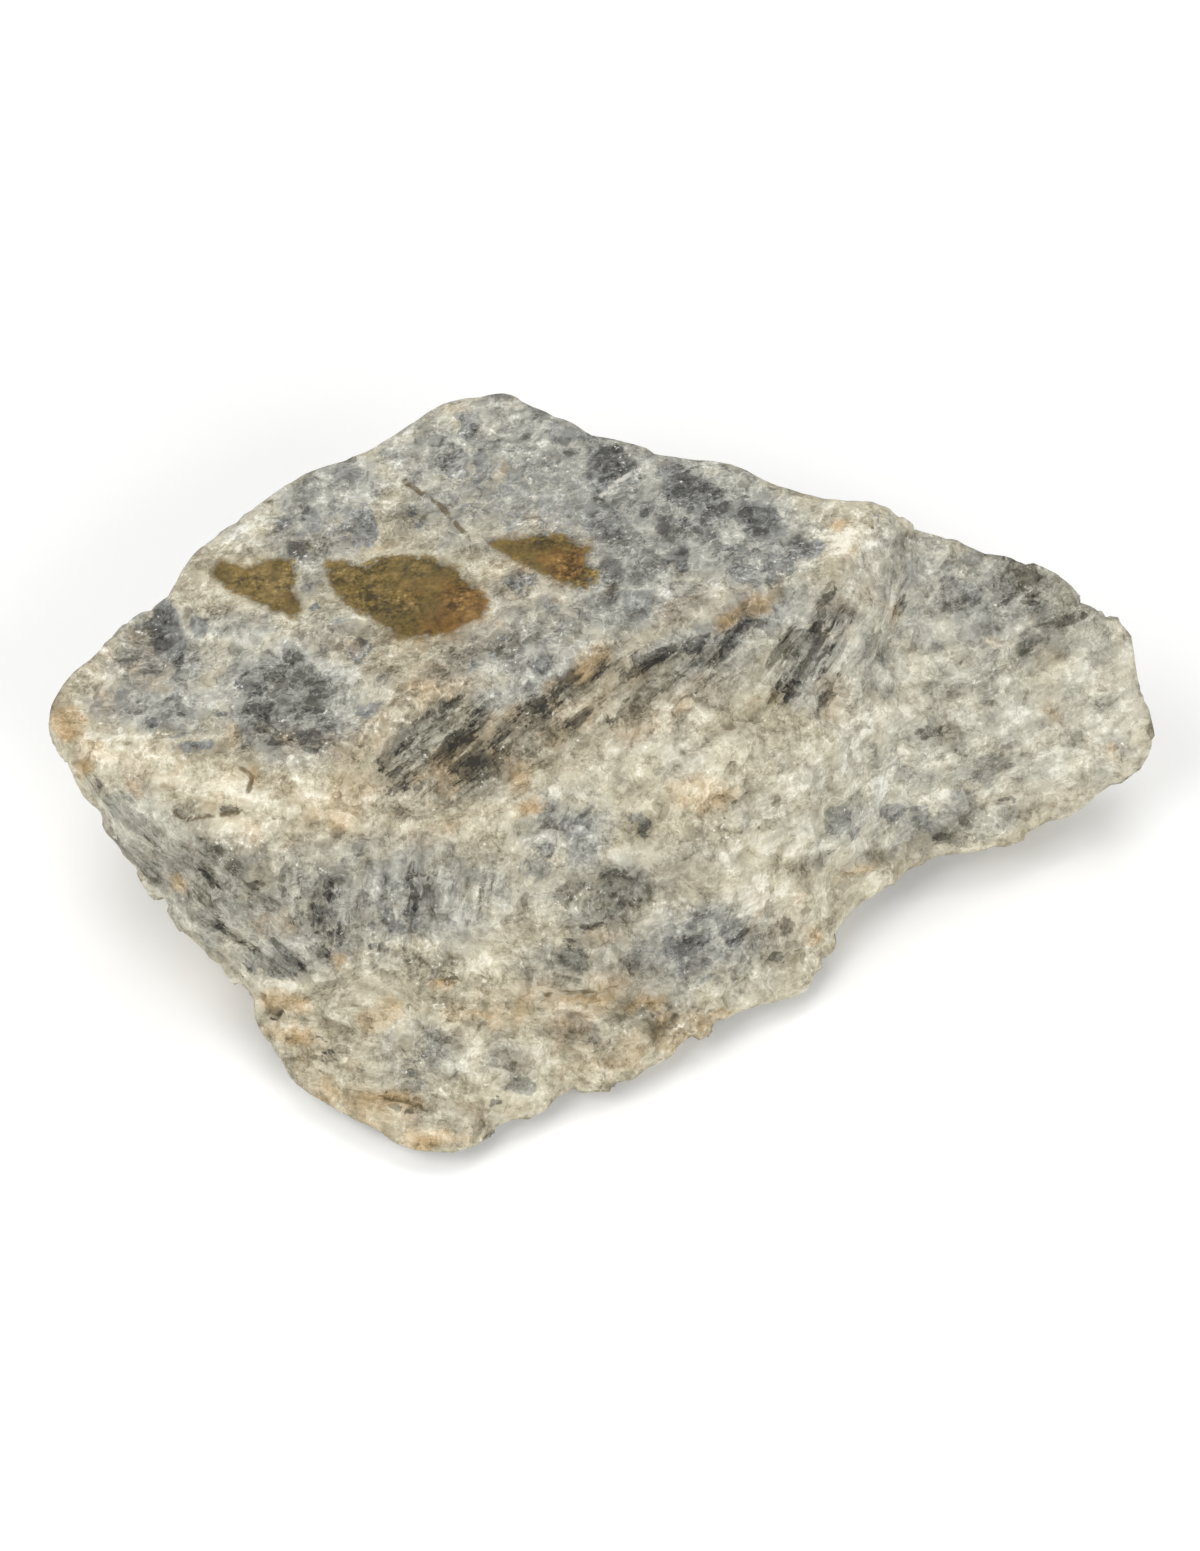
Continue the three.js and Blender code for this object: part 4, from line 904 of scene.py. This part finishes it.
# How much of each kind of mark there is: its outline is roughened by its patterns.
patterns["ragged"] = total(*weighed(RAGGED))
dark_limit = share_of([fibrous], UNIT, DARK_LIMIT)
on_mesh["dark"] = add("Math", {0: on_mesh["dark"], 1: dark_limit}, operation="MINIMUM").outputs[0]
patterns["dark_streaks"] = total((patterns["streaks"], on_mesh["dark"]))
for name, (raggedness, edge) in OUTLINES.items():
    patterns[name] = share_of([on_mesh[name], *weighed(raggedness)], edge)
patterns["blue_veins"] = total((veins, total((patterns["ground"], on_mesh["blue"]))))
patterns["blue_wisps"] = total((patterns["pale_wisps"], on_mesh["blue"]))
# White specks where the fine noises peak, partly painted glints.
patterns["flecks_and_glints"] = share_of(weighed(FLECK_AND_GLINT_NOISES), FLECK_AND_GLINT_EDGE)
patterns["shade"] = on_mesh["shade"]
# Painted shade in hollow places: the lower the relief, the darker the tone.
patterns["hollow_shade"] = share_of([on_mesh["relief"]], HOLLOW_SHADE_EDGE_MM)
patterns["cold"] = 0.0
for name in ("grey", "ground", "dark"):
    cold_here = total((patterns[name], HIDES[name]))
    patterns["cold"] = add("Math", {0: patterns["cold"], 1: cold_here}, operation="MAXIMUM").outputs[0]

# Its tones, and their colours: cream rock with cold grains, rust and white specks that are partly painted
# glints, and then what lies on it.
tone = add("Math", {0: total(*weighed(TONE)), 1: BASE_TONE}, operation="ADD", use_clamp=True).outputs[0]
stain_tone = add("Math", {0: total(*weighed(STAIN_TONE)), 1: BASE_STAIN_TONE}, operation="ADD").outputs[0]
greys = painted(tones(tone, OLIVE_GREYS), (tones(tone, BLUE_GREYS), "blue"))
stains = painted(tones(stain_tone, STAIN_OLIVES), (tones(stain_tone, STAIN_ORANGES), "stain_orange"))
colour = painted(
    tones(tone, CREAMS), (greys, "cold"), (tones(tone, RUSTS), "rust"), (linear(FLECK_AND_GLINT_COLOUR), "flecks_and_glints"),
    (stains, "stain"), (linear(CRACK_COLOUR), "crack"), (linear(SCRATCH_COLOUR), "scratch"),
)

finest_relief = total(*weighed(FINEST_RELIEF_MM, MM))
bump = add("Bump", {"Strength": RELIEF_STRENGTH, "Distance": 1.0, "Height": finest_relief}).outputs[0]
rock_roughness = share_of([patterns["grit"]], GLINT_EDGE, ROCK_ROUGHNESS)
roughness = total(rock_roughness, (patterns["stain"], STAIN_ROUGHNESS))
surface = add("BsdfPrincipled", {"Base Color": colour, "Roughness": roughness, "Normal": bump,
                                 "IOR": FELDSPAR_IOR, "Specular IOR Level": SPECULAR_LEVEL})
add("OutputMaterial", {0: surface.outputs[0]})
stone_mesh.materials.clear()
stone_mesh.materials.append(material)
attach(stone, "root")
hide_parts("labradorite")

# The table and the light
# A plain white studio table under big soft lamps, so that the shadows are faint and the stone shows evenly.
TABLE_HALF_MM = 2000
TABLE_COLOUR = "#fafaf9"
TABLE_ROUGHNESS = 0.9
LAMPS = (  # place in mm, size in mm, watts
    ((380, -560, 420), 450, 3.3),
    ((-420, -250, 560), 500, 2.6),
    ((0, 350, 700), 600, 2.4),
)
ROOM_COLOUR = "#ffffff"
ROOM_LIGHT = 0.35
half = TABLE_HALF_MM * MM
table_mesh = bpy.data.meshes.new("table")
table_corners = [(-half, -half, 0), (half, -half, 0), (half, half, 0), (-half, half, 0)]
table_mesh.from_pydata(table_corners, [], [(0, 1, 2, 3)])
table = bpy.data.objects.new("table", table_mesh)
bpy.context.scene.collection.objects.link(table)
table_material = bpy.data.materials.new("white_card")
table_material.use_nodes = True
table_surface = table_material.node_tree.nodes["Principled BSDF"]
table_surface.inputs["Base Color"].default_value = linear(TABLE_COLOUR)
table_surface.inputs["Roughness"].default_value = TABLE_ROUGHNESS
table_mesh.materials.append(table_material)

for number, (place, size, power) in enumerate(LAMPS):
    lamp = bpy.data.objects.new(f"lamp_{number}", bpy.data.lights.new(f"lamp_{number}", "AREA"))
    lamp.data.size = size * MM
    lamp.data.energy = power
    lamp.location = np.array(place) * MM
    lamp.rotation_euler = (-lamp.location).to_track_quat("-Z", "Y").to_euler()
    bpy.context.scene.collection.objects.link(lamp)
world = bpy.data.worlds.new("studio")
world.use_nodes = True
world.node_tree.nodes["Background"].inputs["Color"].default_value = linear(ROOM_COLOUR)
world.node_tree.nodes["Background"].inputs["Strength"].default_value = ROOM_LIGHT
bpy.context.scene.world = world
bpy.context.scene.view_settings.view_transform = "Standard"
